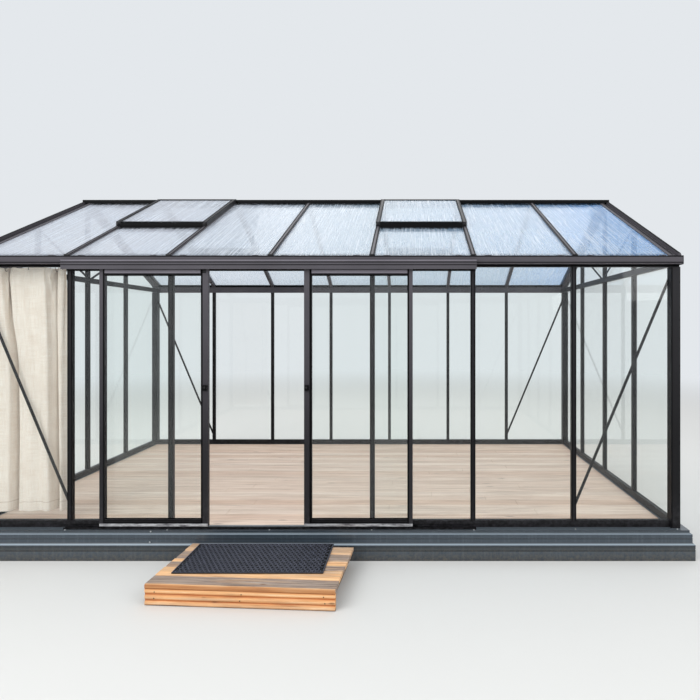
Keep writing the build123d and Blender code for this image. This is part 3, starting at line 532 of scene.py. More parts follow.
bump = add("Bump", {"Strength": 0.3, "Distance": 0.001, "Height": threads, "Normal": creased})
shader = add("BsdfPrincipled", {"Roughness": 0.9, "Sheen Weight": 0.25, "Sheen Roughness": 0.5,
                                "Base Color": coloured, "Normal": bump})
glow = add("BsdfTranslucent", {"Color": coloured})
whole = add("MixShader", {0: 0.38, 1: shader, 2: glow})
add("OutputMaterial", {"Surface": whole})
print("finishes made")

# the CAD's own solids: frame coat on all that stay, then what is of another finish
madeAnew = ["floor", "doorstep_deck", "doorstep_fascia", "doorstep_bearers", "doorstep_mat", "curtain"]
dress([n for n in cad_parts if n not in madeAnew], frameCoat)
dress([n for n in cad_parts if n.endswith("glass")], clearGlass)
dress(["front_roof_glass", "rear_roof_glass", "vent_glass"], wetGlass)
dress([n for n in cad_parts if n.startswith("base_")], baseCoat)
dress(["curtain_rod", "door_left_rollers", "door_right_rollers"], nylon)
dress(["eave_seals"], rubberAndShadowBlack)
dress(["floor_joists"], sawn)
# painted light: the gutters, bars, stiles, rails and the head track take the paler coats
dress(["gutter_front", "gutter_rear"], gutterCoat)
dress(["door_head_track", "roof_bars_front", "roof_bars_rear", "verge_bars",
       "door_left_stiles", "door_right_stiles", "door_left_rails", "door_right_rails"], paleCoat)
# the ridge cap and the vents' rails: near black, partly painted shade; the bottom track and handles take it too
dress(["vent_rails", "ridge", "door_bottom_track", "door_left_handle", "door_right_handle"], blackAndShadowCoat)
print("solids dressed")

# floor: boards along the length, with staggered butt joints
floorBoards = {"rows": 24, "gap": 0.0025, "joints": (1.42, 1.86, 1.72), "round": 0.0018}
floorLow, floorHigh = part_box("floor")
rowDepth = (floorHigh.y - floorLow.y) / floorBoards["rows"]
oneBoard = addBlock((0, 0, floorLow.z), (1, rowDepth - floorBoards["gap"], floorHigh.z))
bevelAll(oneBoard, floorBoards["round"], 2, lambda edge: middle(edge).z > floorHigh.z - 0.001)
laid = []
for row in range(floorBoards["rows"]):
    ends = [floorLow.x]
    first = floorBoards["joints"][row % 3] - 0.35 * (row % 2)
    while ends[-1] + first < floorHigh.x - 0.5:
        ends.append(ends[-1] + first)
        first = 1.9 + 0.25 * ((row * 7) % 3)
    ends.append(floorHigh.x)
    for start, stop in zip(ends, ends[1:]):
        board = copyPiece(oneBoard)
        for corner in board.data.vertices:
            if corner.co.x > 0.5:  # stretched at its far end only, so that its edges stay round
                corner.co.x += stop - start - 1 - floorBoards["gap"] / 2
        board.data.transform(Matrix.Translation((start, floorLow.y + row * rowDepth, 0)))
        laid.append(board)
bpy.data.objects.remove(oneBoard)
boards = settle(joinPieces(laid), "floor_boards", limed, smooth=None)
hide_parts("floor")
print("floor laid")


# doorstep: five deck boards, the front one lapping over a reeded fascia
def cutReeds(piece, heights, front, width, depth):
    # grooves along a front face: three cuts a groove, the middle one pushed in, then all rounded
    for centre in heights:
        for shift in (-width / 2, 0, width / 2):
            pick(piece, "EDGE")
            bpy.ops.mesh.bisect(plane_co=(0, 0, centre + shift), plane_no=(0, 0, 1))

    def onFace(edge, reach):
        spot = middle(edge)
        return (runsAlong(edge, 0) and abs(spot.y - front) < 0.0005
                and any(abs(spot.z - centre) < reach for centre in heights))

    pick(piece, "EDGE", lambda edge: onFace(edge, 0.0005))
    bpy.ops.transform.translate(value=(0, depth, 0))
    pick(piece, "EDGE", lambda edge: onFace(edge, width * 0.6))
    bpy.ops.mesh.bevel(offset=width * 0.5, segments=4, affect="EDGES")
    leaveEdit()
    return piece


def turnStep(piece):
    piece.data.transform(Matrix.Translation(doorstep["corner"]) @ Matrix.Rotation(doorstep["turn"], 4, "Z"))
    return piece


deckLow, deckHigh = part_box("doorstep_deck")
pitch = (doorstep["depth"] + doorstep["gap"]) / doorstep["boards"]
width = pitch - doorstep["gap"]
oneBoard = addBlock((0, -width, deckLow.z + 0.001), (doorstep["length"], 0, deckHigh.z))
bevelAll(oneBoard, 0.011, 5, lambda edge: runsAlong(edge, 0) and middle(edge).z > deckHigh.z - 0.001)
bevelAll(oneBoard, 0.004, 2, lambda edge: runsAlong(edge, 0) and middle(edge).z < deckLow.z + 0.002)
bevelAll(oneBoard, 0.0015, 2, lambda edge: runsAlong(edge, 1) and edge.calc_face_angle(0) > 1.0)
laid = []
for number in range(doorstep["boards"]):
    nudge = random.uniform(-0.003, 0.003)
    laid.append(turnStep(copyPiece(oneBoard, (nudge, -number * pitch, random.uniform(-0.0008, 0)))))
bpy.data.objects.remove(oneBoard)
deck = settle(joinPieces(laid), "doorstep_boards", greyDeck, smooth=35)
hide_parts("doorstep_deck")

fasciaLow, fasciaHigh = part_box("doorstep_fascia")
front = -doorstep["depth"] + doorstep["nosing"]
fascia = addBlock((0, front, fasciaLow.z), (doorstep["length"], front + 0.028, fasciaHigh.z))
cutReeds(fascia, doorstep["reeds"], front, 0.019, 0.008)
bevelAll(fascia, 0.006, 4, lambda edge: runsAlong(edge, 0) and abs(middle(edge).y - front) < 0.0005
         and (middle(edge).z < fasciaLow.z + 0.001 or middle(edge).z > fasciaHigh.z - 0.001))
fascia = settle(turnStep(fascia), "doorstep_reeded_fascia", warmDeck, smooth=35)
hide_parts("doorstep_fascia")

bearers = []
lastBearer = doorstep["length"] - doorstep["bearer"] - doorstep["inset"]
for x in (doorstep["inset"], (doorstep["length"] - doorstep["bearer"]) / 2, lastBearer):
    bearer = addBlock((x, front + 0.0285, 0), (x + doorstep["bearer"], -0.001, deckLow.z + 0.0005))
    bearers.append(turnStep(bevelAll(bearer, 0.003, 2)))
bearers = settle(joinPieces(bearers), "doorstep_rough_bearers", shadedTimber, smooth=35)
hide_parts("doorstep_bearers")
nail = {"radius": 0.0032, "rise": 0.003, "along": (0.062, 0.58, 1.076), "heights": (0.044, 0.081), "astray": 0.006}
nailHead = addCylinder(12, nail["radius"], nail["rise"], turn=(math.radians(90), 0, 0))
bevelAll(nailHead, 0.001, 2, lambda edge: middle(edge).y < -0.001)
nails = []
for x, up in product(nail["along"], nail["heights"]):
    nails.append(((x + random.uniform(-nail["astray"], nail["astray"]), front - 0.0004, up), None))
settle(turnStep(placeCopies(nailHead, nails)), "doorstep_nails", nylon)
print("doorstep built")

# ring mat: short rubber tubes touching each other inside a border, over a dark sheet that paints shade in the holes
ringMat = {"pitch": 0.0302, "outer": 0.0154, "wall": 0.0058, "sides": 8, "border": 0.007, "holeShadeSheet": 0.0025}
matLow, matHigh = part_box("doorstep_mat")
leaveEdit()
bpy.ops.mesh.primitive_circle_add(vertices=ringMat["sides"], radius=ringMat["outer"] - ringMat["wall"] / 2,
                                  location=(0, 0, matLow.z + 0.001))
ring = placeInMesh(bpy.context.object)
pick(ring, "EDGE")
bpy.ops.mesh.extrude_region_move(TRANSFORM_OT_translate={"value": (0, 0, matHigh.z - matLow.z - 0.002)})
leaveEdit()
wall = ring.modifiers.new("wall", "SOLIDIFY")
wall.thickness = ringMat["wall"]
wall.offset = 0
applyModifiers(ring)
rowPitch = ringMat["pitch"] * math.sqrt(3) / 2
inner = ringMat["border"]
columns = round((matHigh.x - matLow.x - 2 * inner) / ringMat["pitch"])
rows = round((matHigh.y - matLow.y - 2 * inner - ringMat["pitch"]) / rowPitch) + 1
left = (matLow.x + matHigh.x - (columns - 1) * ringMat["pitch"]) / 2
back = (matLow.y + matHigh.y - (rows - 1) * rowPitch) / 2
strips = []
for odd in (0, 1):
    strip = copyPiece(ring, (left + odd * ringMat["pitch"] / 2, back + odd * rowPitch, 0))
    for count, step in ((columns - odd, (ringMat["pitch"], 0, 0)), ((rows + 1 - odd) // 2, (0, 2 * rowPitch, 0))):
        repeat = strip.modifiers.new("repeat", "ARRAY")
        repeat.count = count
        repeat.use_relative_offset = False
        repeat.use_constant_offset = True
        repeat.constant_offset_displace = step
    strips.append(applyModifiers(strip))
bpy.data.objects.remove(ring)
border = addBlock(matLow, matHigh)
pick(border, "FACE", lambda face: abs(face.normal.z) > 0.9)
bpy.ops.mesh.inset(thickness=ringMat["border"], use_individual=True)
pick(border, "FACE", lambda face: abs(face.normal.z) > 0.9 and len(face.verts) == 4
     and abs(middle(face).x - (matLow.x + matHigh.x) / 2) < 0.001 and face.calc_area() > 0.3)
bpy.ops.mesh.bridge_edge_loops()
leaveEdit()
bevelAll(border, 0.003, 2, lambda edge: edge.calc_face_angle(0) > 1.0)
# painted shade: the dark sheet under the rings darkens their holes
holeShadeSheet = addBlock((matLow.x + inner / 2, matLow.y + inner / 2, matLow.z + 0.0002),
               (matHigh.x - inner / 2, matHigh.y - inner / 2, matLow.z + ringMat["holeShadeSheet"]))
bevelAll(holeShadeSheet, 0.001, 1)
mat = settle(joinPieces([border, holeShadeSheet] + strips), "doorstep_ring_mat", rubber)
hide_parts("doorstep_mat")
print("mat made", len(mat.data.polygons), "faces")

# curtain: one width of canvas, gathered between its rings and hanging in broad folds
curtainCut = {"top": 2.083, "bottom": 0.302, "line": -1.373, "flatWidth": 0.86, "columns": 110, "rows": 130,
              "hem": 0.072, "topHem": 0.030, "thick": 0.003, "blendOver": 0.42,
              "topKnots": ((-2.486, -0.3), (-2.455, 0.5), (-2.418, 0.9), (-2.385, -0.6), (-2.360, -0.9),
                           (-2.328, 1.0), (-2.292, -0.7), (-2.215, -1.0), (-2.155, -0.35), (-2.018, -0.85),
                           (-1.976, 1.0), (-1.940, -0.8), (-1.884, 0.1)),
              "footKnots": ((-2.486, 0.4), (-2.460, 0.0), (-2.430, -0.6), (-2.360, -0.95), (-2.285, -0.85),
                            (-2.243, 1.0), (-2.208, -0.75), (-2.140, -1.0), (-2.070, -0.6), (-2.004, -0.85),
                            (-1.962, 0.95), (-1.928, -0.6), (-1.884, 0.2))}


def foldLine(fall, columns):
    # the curtain's line seen from above at one height, as evenly spaced points; fall is 0 at the top, 1 at the foot
    blend = min(1.0, fall / curtainCut["blendOver"])
    blend = blend * blend * (3 - 2 * blend)
    knots = [(a[0] + (b[0] - a[0]) * blend, a[1] + (b[1] - a[1]) * blend)
             for a, b in zip(curtainCut["topKnots"], curtainCut["footKnots"])]

    def trace(deep):
        line = []
        for (x0, y0), (x1, y1) in zip(knots, knots[1:]):
            for share in (step / 24 for step in range(24)):
                ease = (1 - math.cos(math.pi * share)) / 2
                line.append(Vector((x0 + (x1 - x0) * share, (y0 + (y1 - y0) * ease) * deep, 0)))
        line.append(Vector((knots[-1][0], knots[-1][1] * deep, 0)))
        return line, [0.0, *accumulate((two - one).length for one, two in zip(line, line[1:]))]

    shallow, deep = 0.0, 0.3
    for _ in range(24):  # as deep as the cloth's width asks for
        half = (shallow + deep) / 2
        if trace(half)[1][-1] < curtainCut["flatWidth"]:
            shallow = half
        else:
            deep = half
    line, lengths = trace(deep)
    points, index = [], 0
    for column in range(columns + 1):
        reach = lengths[-1] * column / columns
        while index < len(lengths) - 2 and lengths[index + 1] < reach:
            index += 1
        share = (reach - lengths[index]) / max(lengths[index + 1] - lengths[index], 1e-9)
        points.append(line[index].lerp(line[index + 1], min(share, 1.0)))
    return points, deep


leaveEdit()
tall = curtainCut["top"] - curtainCut["bottom"]
bpy.ops.mesh.primitive_grid_add(x_subdivisions=curtainCut["columns"], y_subdivisions=curtainCut["rows"], size=1,
                                location=(0, 0, 0), rotation=(math.radians(90), 0, 0))
curtain = placeInMesh(bpy.context.object)
mapped = curtain.data.uv_layers[0]
mapped.name = "clothMetres"
for corner in mapped.data:
    corner.uv = (corner.uv[0] * curtainCut["flatWidth"], corner.uv[1] * tall)
foldRows, foldShares = {}, []
for vertex in curtain.data.vertices:
    column = round((vertex.co.x + 0.5) * curtainCut["columns"])
    row = round((vertex.co.z + 0.5) * curtainCut["rows"])
    if row not in foldRows:
        foldRows[row] = foldLine(1 - row / curtainCut["rows"], curtainCut["columns"])
    points, deep = foldRows[row]
    spot = points[column]
    up = curtainCut["bottom"] + tall * row / curtainCut["rows"]
    foldShares.append((spot.y / deep + 1) / 2)
    ripple = 0.003 * noise.noise(Vector((spot.x * 9, 3.1, up * 1.6)))
    ripple += 0.0016 * noise.noise(Vector((spot.x * 8, 8.4, up * 14)))  # slack creases across the folds
    vertex.co = Vector((spot.x, curtainCut["line"] + spot.y + ripple, up))
# how deep each point lies in its fold, which the canvas reads for its painted shade
depthMark = curtain.data.attributes.new("foldDepth", "FLOAT", "POINT")
depthMark.data.foreach_set("value", foldShares)
print("curtain folded, deepest", max(deep for points, deep in foldRows.values()))
ringColumns = [round(curtainCut["columns"] * share) for share in (0.02, 0.15, 0.29, 0.43, 0.57, 0.71, 0.85, 0.98)]
ringPlaces = [foldRows[curtainCut["rows"]][0][column].x for column in ringColumns]
hooks = curtain.vertex_groups.new(name="hooks")
for vertex in curtain.data.vertices:
    if vertex.co.z > curtainCut["top"] - 1e-4 and min(abs(vertex.co.x - x) for x in ringPlaces) < 0.004:
        hooks.add([vertex.index], 1.0, "REPLACE")
canvasDrape = {"quality": 6, "mass": 0.25, "tension_stiffness": 40, "compression_stiffness": 40,
               "shear_stiffness": 20, "bending_stiffness": 0.6}
drapeSteps, mostMove = 26, 0.014
solidLow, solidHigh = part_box("curtain")
before = [vertex.co.copy() for vertex in curtain.data.vertices]
drape = curtain.modifiers.new("drape", "CLOTH")
for setting, value in canvasDrape.items():
    setattr(drape.settings, setting, value)
drape.settings.vertex_group_mass = hooks.name
drape.point_cache.frame_end = drapeSteps
for step in range(1, drapeSteps + 1):
    scene.frame_set(step)
applyModifiers(curtain)
scene.frame_set(1)
most = 0.0
for vertex, start in zip(curtain.data.vertices, before):
    move = vertex.co - start
    most = max(most, move.length)
    if move.length > mostMove:
        vertex.co = start + move.normalized() * mostMove
    for axis in range(3):  # stays in the space the solid holds
        vertex.co[axis] = min(max(vertex.co[axis], solidLow[axis] + 0.002), solidHigh[axis] - 0.0005)
print("curtain draped, moved at most", round(most, 4))
hemGroup = curtain.vertex_groups.new(name="hem")
for vertex in curtain.data.vertices:
    row = vertex.index // (curtainCut["columns"] + 1) / curtainCut["rows"]
    inHem = row * tall < curtainCut["hem"] or row * tall > tall - curtainCut["topHem"]
    hemGroup.add([vertex.index], 1.0 if inHem else 0.4, "REPLACE")
body = curtain.modifiers.new("body", "SOLIDIFY")
body.thickness = curtainCut["thick"]
body.offset = 0
body.vertex_group = "hem"
applyModifiers(curtain)
settle(curtain, "curtain_cloth", canvas, smooth=60)
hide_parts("curtain")

curtainRing = {"radius": 0.021, "wire": 0.0017, "hang": 0.0143, "twist": 58}
rodLow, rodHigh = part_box("curtain_rod")
ringHeight = (rodLow.z + rodHigh.z) / 2 - curtainRing["hang"]
leaveEdit()
bpy.ops.mesh.primitive_torus_add(major_radius=curtainRing["radius"], minor_radius=curtainRing["wire"],
                                 major_segments=28, minor_segments=8, rotation=(0, math.radians(90), 0))
oneRing = placeInMesh(bpy.context.object)
ringTurns = []
for x in ringPlaces:
    twist = math.radians(random.uniform(-curtainRing["twist"], curtainRing["twist"]))
    ringTurns.append(((x, curtainCut["line"], ringHeight), Matrix.Rotation(twist, 4, "Z")))
rings = settle(placeCopies(oneRing, ringTurns), "curtain_rings", nylon, smooth=50)
print("curtain hung")

# screws on the base: low domed heads, each with a shallow drive hole
screw = {"radius": 0.0058, "rise": 0.0042, "round": 0.0024, "hole": 0.0012, "wallLine": 1.505, "trackLine": 1.5205,
         "endLine": 2.572, "seam": -1.2014, "seamSpots": ((0.1970, 1.527), (0.1275, 1.541))}
oneScrew = addCylinder(16, screw["radius"], screw["rise"], (0, 0, screw["rise"] / 2))
pick(oneScrew, "FACE", lambda face: face.normal.z > 0.9)
bpy.ops.mesh.bevel(offset=screw["round"], segments=4, affect="EDGES")
pick(oneScrew, "FACE", lambda face: face.normal.z > 0.9 and face.calc_area() > 3e-5)
bpy.ops.mesh.inset(thickness=screw["hole"])
bpy.ops.transform.translate(value=(0, 0, -screw["hole"]))
leaveEdit()
both = (-1, 1)
gridX = [k * 0.725 - 2.5375 for k in range(8)]  # the middle of each post and bar along the length
gableY = (-0.725, 0, 0.725)
trackEnds = (-1.8305, 1.1055)
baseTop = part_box("base_rear")[1].z
screws = []
for side in both:
    for x in gridX:
        onTrack = side < 0 and trackEnds[0] < x < trackEnds[1]
        screws.append(((x, side * screw["trackLine" if onTrack else "wallLine"], baseTop), None))
for side, y in product(both, gableY):
    screws.append(((side * screw["endLine"], y + 0.05, baseTop), None))
for up, out in screw["seamSpots"]:
    screws.append(((screw["seam"], -out, up), Matrix.Rotation(math.radians(90), 4, "X")))
settle(placeCopies(oneScrew, screws), "base_screws", zinc)
print("screws set")

# roof: caps on the bars' feet and clips that hold the panes at the gutter
footCap = {"width": 0.038, "thick": 0.006, "top": 2.1655, "bottom": 2.118, "line": 1.5003}
oneCap = addBlock((-footCap["width"] / 2, -footCap["thick"], footCap["bottom"]),
                  (footCap["width"] / 2, 0, footCap["top"]))
bevelAll(oneCap, 0.0045, 3, lambda edge: runsAlong(edge, 1) and middle(edge).z > 2.15)
bevelAll(oneCap, 0.0012, 2, lambda edge: abs(middle(edge).y + footCap["thick"]) < 1e-4)
caps = [((x, side * footCap["line"], 0), toSide(side)) for side, x in product(both, gridX[1:-1])]
settle(placeCopies(oneCap, caps), "roof_bar_caps", nylon)

clip = {"width": 0.048, "fromBar": 0.105, "front": -1.5085, "back": -1.4930, "low": 2.138, "high": 2.158}
oneClip = addBlock((-clip["width"] / 2, clip["front"], clip["low"]), (clip["width"] / 2, clip["back"], clip["high"]))
bevelAll(oneClip, 0.0035, 3, lambda edge: runsAlong(edge, 0) and middle(edge).z > 2.15)
bevelAll(oneClip, 0.004, 2, lambda edge: not runsAlong(edge, 0) and middle(edge).z > 2.15)
clips = []
for side, (x0, x1) in product(both, zip(gridX, gridX[1:])):
    clips += [((x0 + clip["fromBar"], 0, 0), toSide(side)), ((x1 - clip["fromBar"], 0, 0), toSide(side))]
settle(placeCopies(oneClip, clips), "roof_glass_clips", paleCoat)
print("caps and clips fitted")

# strips: one rounded metre of strip, stretched between the two ends of each run
unitStrip = addBlock((0, -0.5, 0), (1, 0.5, 1))
bevelAll(unitStrip, 0.22, 2, lambda edge: runsAlong(edge, 0) and middle(edge).z > 0.9)


def layStrip(start, end, width, thick, up):
    # lies on the surface that up points away from
    start, end, up = Vector(start), Vector(end), Vector(up).normalized()
    along = end - start
    across = up.cross(along.normalized())
    matrix = Matrix((along, across * width, up * thick)).transposed().to_4x4()
    matrix.translation = start
    return copyPiece(unitStrip, (0, 0, 0), matrix)


roofLine = {"peak": 2.8742, "fall": 0.4748, "pitch": math.radians(25.4)}


def roofTop(y, rise=0.0):
    # height of the roof bars' top line, or of a line that rises above it
    return roofLine["peak"] - roofLine["fall"] * abs(y) + rise


def slopeUp(side):
    # the way that a slope faces
    return (0, side * math.sin(roofLine["pitch"]), math.cos(roofLine["pitch"]))


# black glazing rubber along both edges of every bar, so that each bar reads as a pale face between dark lines
rubberLine = {"wide": 0.007, "thick": 0.0015, "fromAxis": 0.0132, "foot": 0.258, "head": 2.076,
              "wallAxis": 1.45, "wallFace": 0.017, "gableFace": 2.5545, "underRoof": 0.052}
# the corner posts' faces, and the verge's lines as offset, rise and width
postLine = {"wide": 0.009, "foot": 0.21, "head": 2.07, "longFace": (2.5095, 1.4825), "gableFace": (2.57, 1.4225)}
slopeLine = {"wide": 0.009, "fromAxis": 0.0125, "head": 0.034, "foot": 1.494, "ventFromAxis": 0.0142,
             "ventWide": 0.0085, "ventRise": 0.0365, "ventHead": 0.036, "ventFoot": 0.803, "vergeAxis": 2.5375,
             "vergeFoot": 1.496, "verge": ((-0.0285, 0.0, 0.008), (0.0195, 0.0089, 0.0178))}
# each line on the gutter: how far out, how high, how wide and how thick
gutterLine = {"end": 2.5685, "lip": (1.525, 2.1478, 0.0085, 0.0012), "groove": (1.5225, 2.104, 0.0074, 0.001),
              "beam": (1.467, 2.0862, 0.0165, 0.0015), "trackGap": 0.0015}
coverLine = {"face": -1.5425, "grooves": (2.084, 2.103), "wide": 0.0056, "inset": 0.001, "coverHighlightFace": -1.545,
             "coverHighlight": 2.1160, "coverHighlightWide": 0.0062}
lines = []


def rub(start, end, wide, up, thick=rubberLine["thick"]):
    lines.append(layStrip(start, end, wide, thick, up))


def rubUpright(x, y, low, high, up, wide=rubberLine["wide"]):
    rub((x, y, low), (x, y, high), wide, up)


def rubSlope(x, side, head, foot, wide, rise=0.0, thick=rubberLine["thick"]):
    # down a slope from head to foot, both measured out from the ridge
    rub((x, side * head, roofTop(head, rise)), (x, side * foot, roofTop(foot, rise)), wide, slopeUp(side), thick)


for side, bars in ((-1, (1, 2, 4, 5, 6)), (1, range(1, 7))):
    for k, edge, face in product(bars, both, (1, -1)):
        y = side * (rubberLine["wallAxis"] + face * rubberLine["wallFace"])
        rubUpright(gridX[k] + edge * rubberLine["fromAxis"], y, rubberLine["foot"], rubberLine["head"],
                   (0, side * face, 0))
for side, y, edge in product(both, gableY, both):
    rubUpright(side * rubberLine["gableFace"], y + edge * rubberLine["fromAxis"], rubberLine["foot"],
               roofTop(abs(y) + rubberLine["wallFace"]) - rubberLine["underRoof"], (side, 0, 0))
for sideX, sideY in product(both, both):  # the corner posts
    for (x, y), up in ((postLine["longFace"], (0, sideY, 0)), (postLine["gableFace"], (sideX, 0, 0))):
        rubUpright(sideX * x, sideY * y, postLine["foot"], postLine["head"], up, postLine["wide"])
ventBays = (1, 4)
ventFoot = 0.8054
for side in both:
    for k, edge in product(range(1, 7), both):
        underVent = any(k in (bay, bay + 1) for bay in ventBays)
        rubSlope(gridX[k] + edge * slopeLine["fromAxis"], side, ventFoot + 0.002 if underVent else slopeLine["head"],
                 slopeLine["foot"], slopeLine["wide"])
    for bay, step, edge in product(ventBays, (0, 1), both):  # on top of the vents' side bars
        rubSlope(gridX[bay + step] + edge * slopeLine["ventFromAxis"], side, slopeLine["ventHead"],
                 slopeLine["ventFoot"], slopeLine["ventWide"], slopeLine["ventRise"])
    for end, (offset, rise, wide) in product(both, slopeLine["verge"]):  # the lip and the outer rim, not the groove
        x = end * (slopeLine["vergeAxis"] + offset)
        rubSlope(x, side, slopeLine["head"], slopeLine["vergeFoot"], wide, rise, 0.001)
gutterEnd, trackGap = gutterLine["end"], gutterLine["trackGap"]
for side in both:
    # the gutter: a black lip, then painted shadow in its groove and along the beam under it, left and right of the
    # door's track
    whole = (-gutterEnd, gutterEnd)
    spans = ((-gutterEnd, trackEnds[0] - trackGap), (trackEnds[1] + trackGap, gutterEnd)) if side < 0 else (whole,)
    runs = [whole + gutterLine["lip"], whole + gutterLine["groove"]] + [span + gutterLine["beam"] for span in spans]
    for left, right, y, z, wide, thick in runs:
        rub((left, side * y, z), (right, side * y, z), wide, (0, side, 0), thick)
coverEnds = (trackEnds[0] + coverLine["inset"], trackEnds[1] - coverLine["inset"])
# painted shade: black in the track cover's two grooves
for z in coverLine["grooves"]:
    rub(*((x, coverLine["face"], z) for x in coverEnds), coverLine["wide"], (0, -1, 0), 0.001)
settle(joinPieces(lines), "glazing_rubber", rubberAndShadowBlack)
# painted highlight: a pale line along the face of the track cover
ends = ((x, coverLine["coverHighlightFace"], coverLine["coverHighlight"]) for x in (trackEnds[0] + 0.0005, trackEnds[1] - 0.0005))
coverHighlight = layStrip(*ends, coverLine["coverHighlightWide"], 0.0006, (0, -1, 0))
settle(coverHighlight, "track_cover_painted_highlight", paintedHighlightCoat)
print("glazing rubber laid")

# head of the doorway: a black block behind the leaves, painted shadow under the head track, and the gutter's end caps
headShadowBlock = {"face": -1.4695, "thick": 0.0075, "low": 2.047, "high": 2.079}
headShadow = addBlock((trackEnds[0], headShadowBlock["face"] - headShadowBlock["thick"], headShadowBlock["low"]),
                (trackEnds[1], headShadowBlock["face"], headShadowBlock["high"]))
bevelAll(headShadow, 0.0025, 3, lambda edge: runsAlong(edge, 0) and middle(edge).z < headShadowBlock["low"] + 0.001)
settle(headShadow, "door_head_shadow_block", rubberAndShadowBlack)

capPlate = {"from": 2.57, "thick": 0.0035, "low": 2.090, "high": 2.1545, "inner": 1.434, "outer": 1.5265}
capNub = {"radius": 0.0095, "rise": 0.006, "place": (2.5765, -1.5, 2.112), "rim": 0.003, "sunk": 0.003}
capFace = capPlate["from"] + capPlate["thick"]
oneCap = addBlock((capPlate["from"], -capPlate["outer"], capPlate["low"]),
                  (capFace, -capPlate["inner"], capPlate["high"]))
bevelAll(oneCap, 0.006, 3, lambda edge: runsAlong(edge, 0))
bevelAll(oneCap, 0.001, 2, lambda edge: abs(middle(edge).x - capFace) < 1e-4)
nub = addCylinder(20, capNub["radius"], capNub["rise"], capNub["place"], (0, math.radians(90), 0))
pick(nub, "FACE", lambda face: face.normal.x > 0.9)
bpy.ops.mesh.inset(thickness=capNub["rim"])
bpy.ops.transform.translate(value=(-capNub["sunk"], 0, 0))
oneCap = joinPieces([oneCap, nub])
mirrored = copyPiece(oneCap, matrix=Matrix.Scale(-1, 4, (1, 0, 0)))
pick(mirrored, "FACE")
bpy.ops.mesh.normals_make_consistent(inside=False)
leaveEdit()
gutterCaps = [copyPiece(cap, matrix=toSide(side)) for cap, side in product((oneCap, mirrored), both)]
for extra in (oneCap, mirrored):
    bpy.data.objects.remove(extra)
settle(joinPieces(gutterCaps), "gutter_end_caps", nylon)
print("gutter closed")

# vents: knobs at the ends of the lower rails, and a rubber lip under each rail
ventKnob = {"wide": 0.020, "deep": 0.016, "high": 0.022}
ventLip = {"fromAxis": 0.0187, "under": 0.016, "over": 0.018, "back": 0.011, "overRise": 0.0323}
oneKnob = addBlock((-ventKnob["wide"] / 2, -ventKnob["deep"], 0), (ventKnob["wide"] / 2, 0, ventKnob["high"]))
bevelAll(oneKnob, 0.0045, 3)
knobs = []
for side, bay, step in product(both, ventBays, (0, 1)):
    knobs.append(((gridX[bay + step], side * (ventFoot + 0.001), roofTop(ventFoot) + 0.004), toSide(side)))
settle(placeCopies(oneKnob, knobs), "vent_rail_knobs", nylon)
lips = []
for side, bay in product(both, ventBays):
    left, right = gridX[bay] + ventLip["fromAxis"], gridX[bay + 1] - ventLip["fromAxis"]
    y, z = side * (ventFoot + 0.0005), roofTop(ventFoot) + 0.002
    lips.append(layStrip((left, y, z), (right, y, z), ventLip["under"], 0.004, (0, side, 0)))
    y = side * (ventFoot - ventLip["back"])  # and over the pane's lower edge
    z = roofTop(y, ventLip["overRise"])
    lips.append(layStrip((left, y, z), (right, y, z), ventLip["over"], 0.0025, slopeUp(side)))
settle(joinPieces(lips), "vent_rail_lips", rubberAndShadowBlack)
print("vents finished")

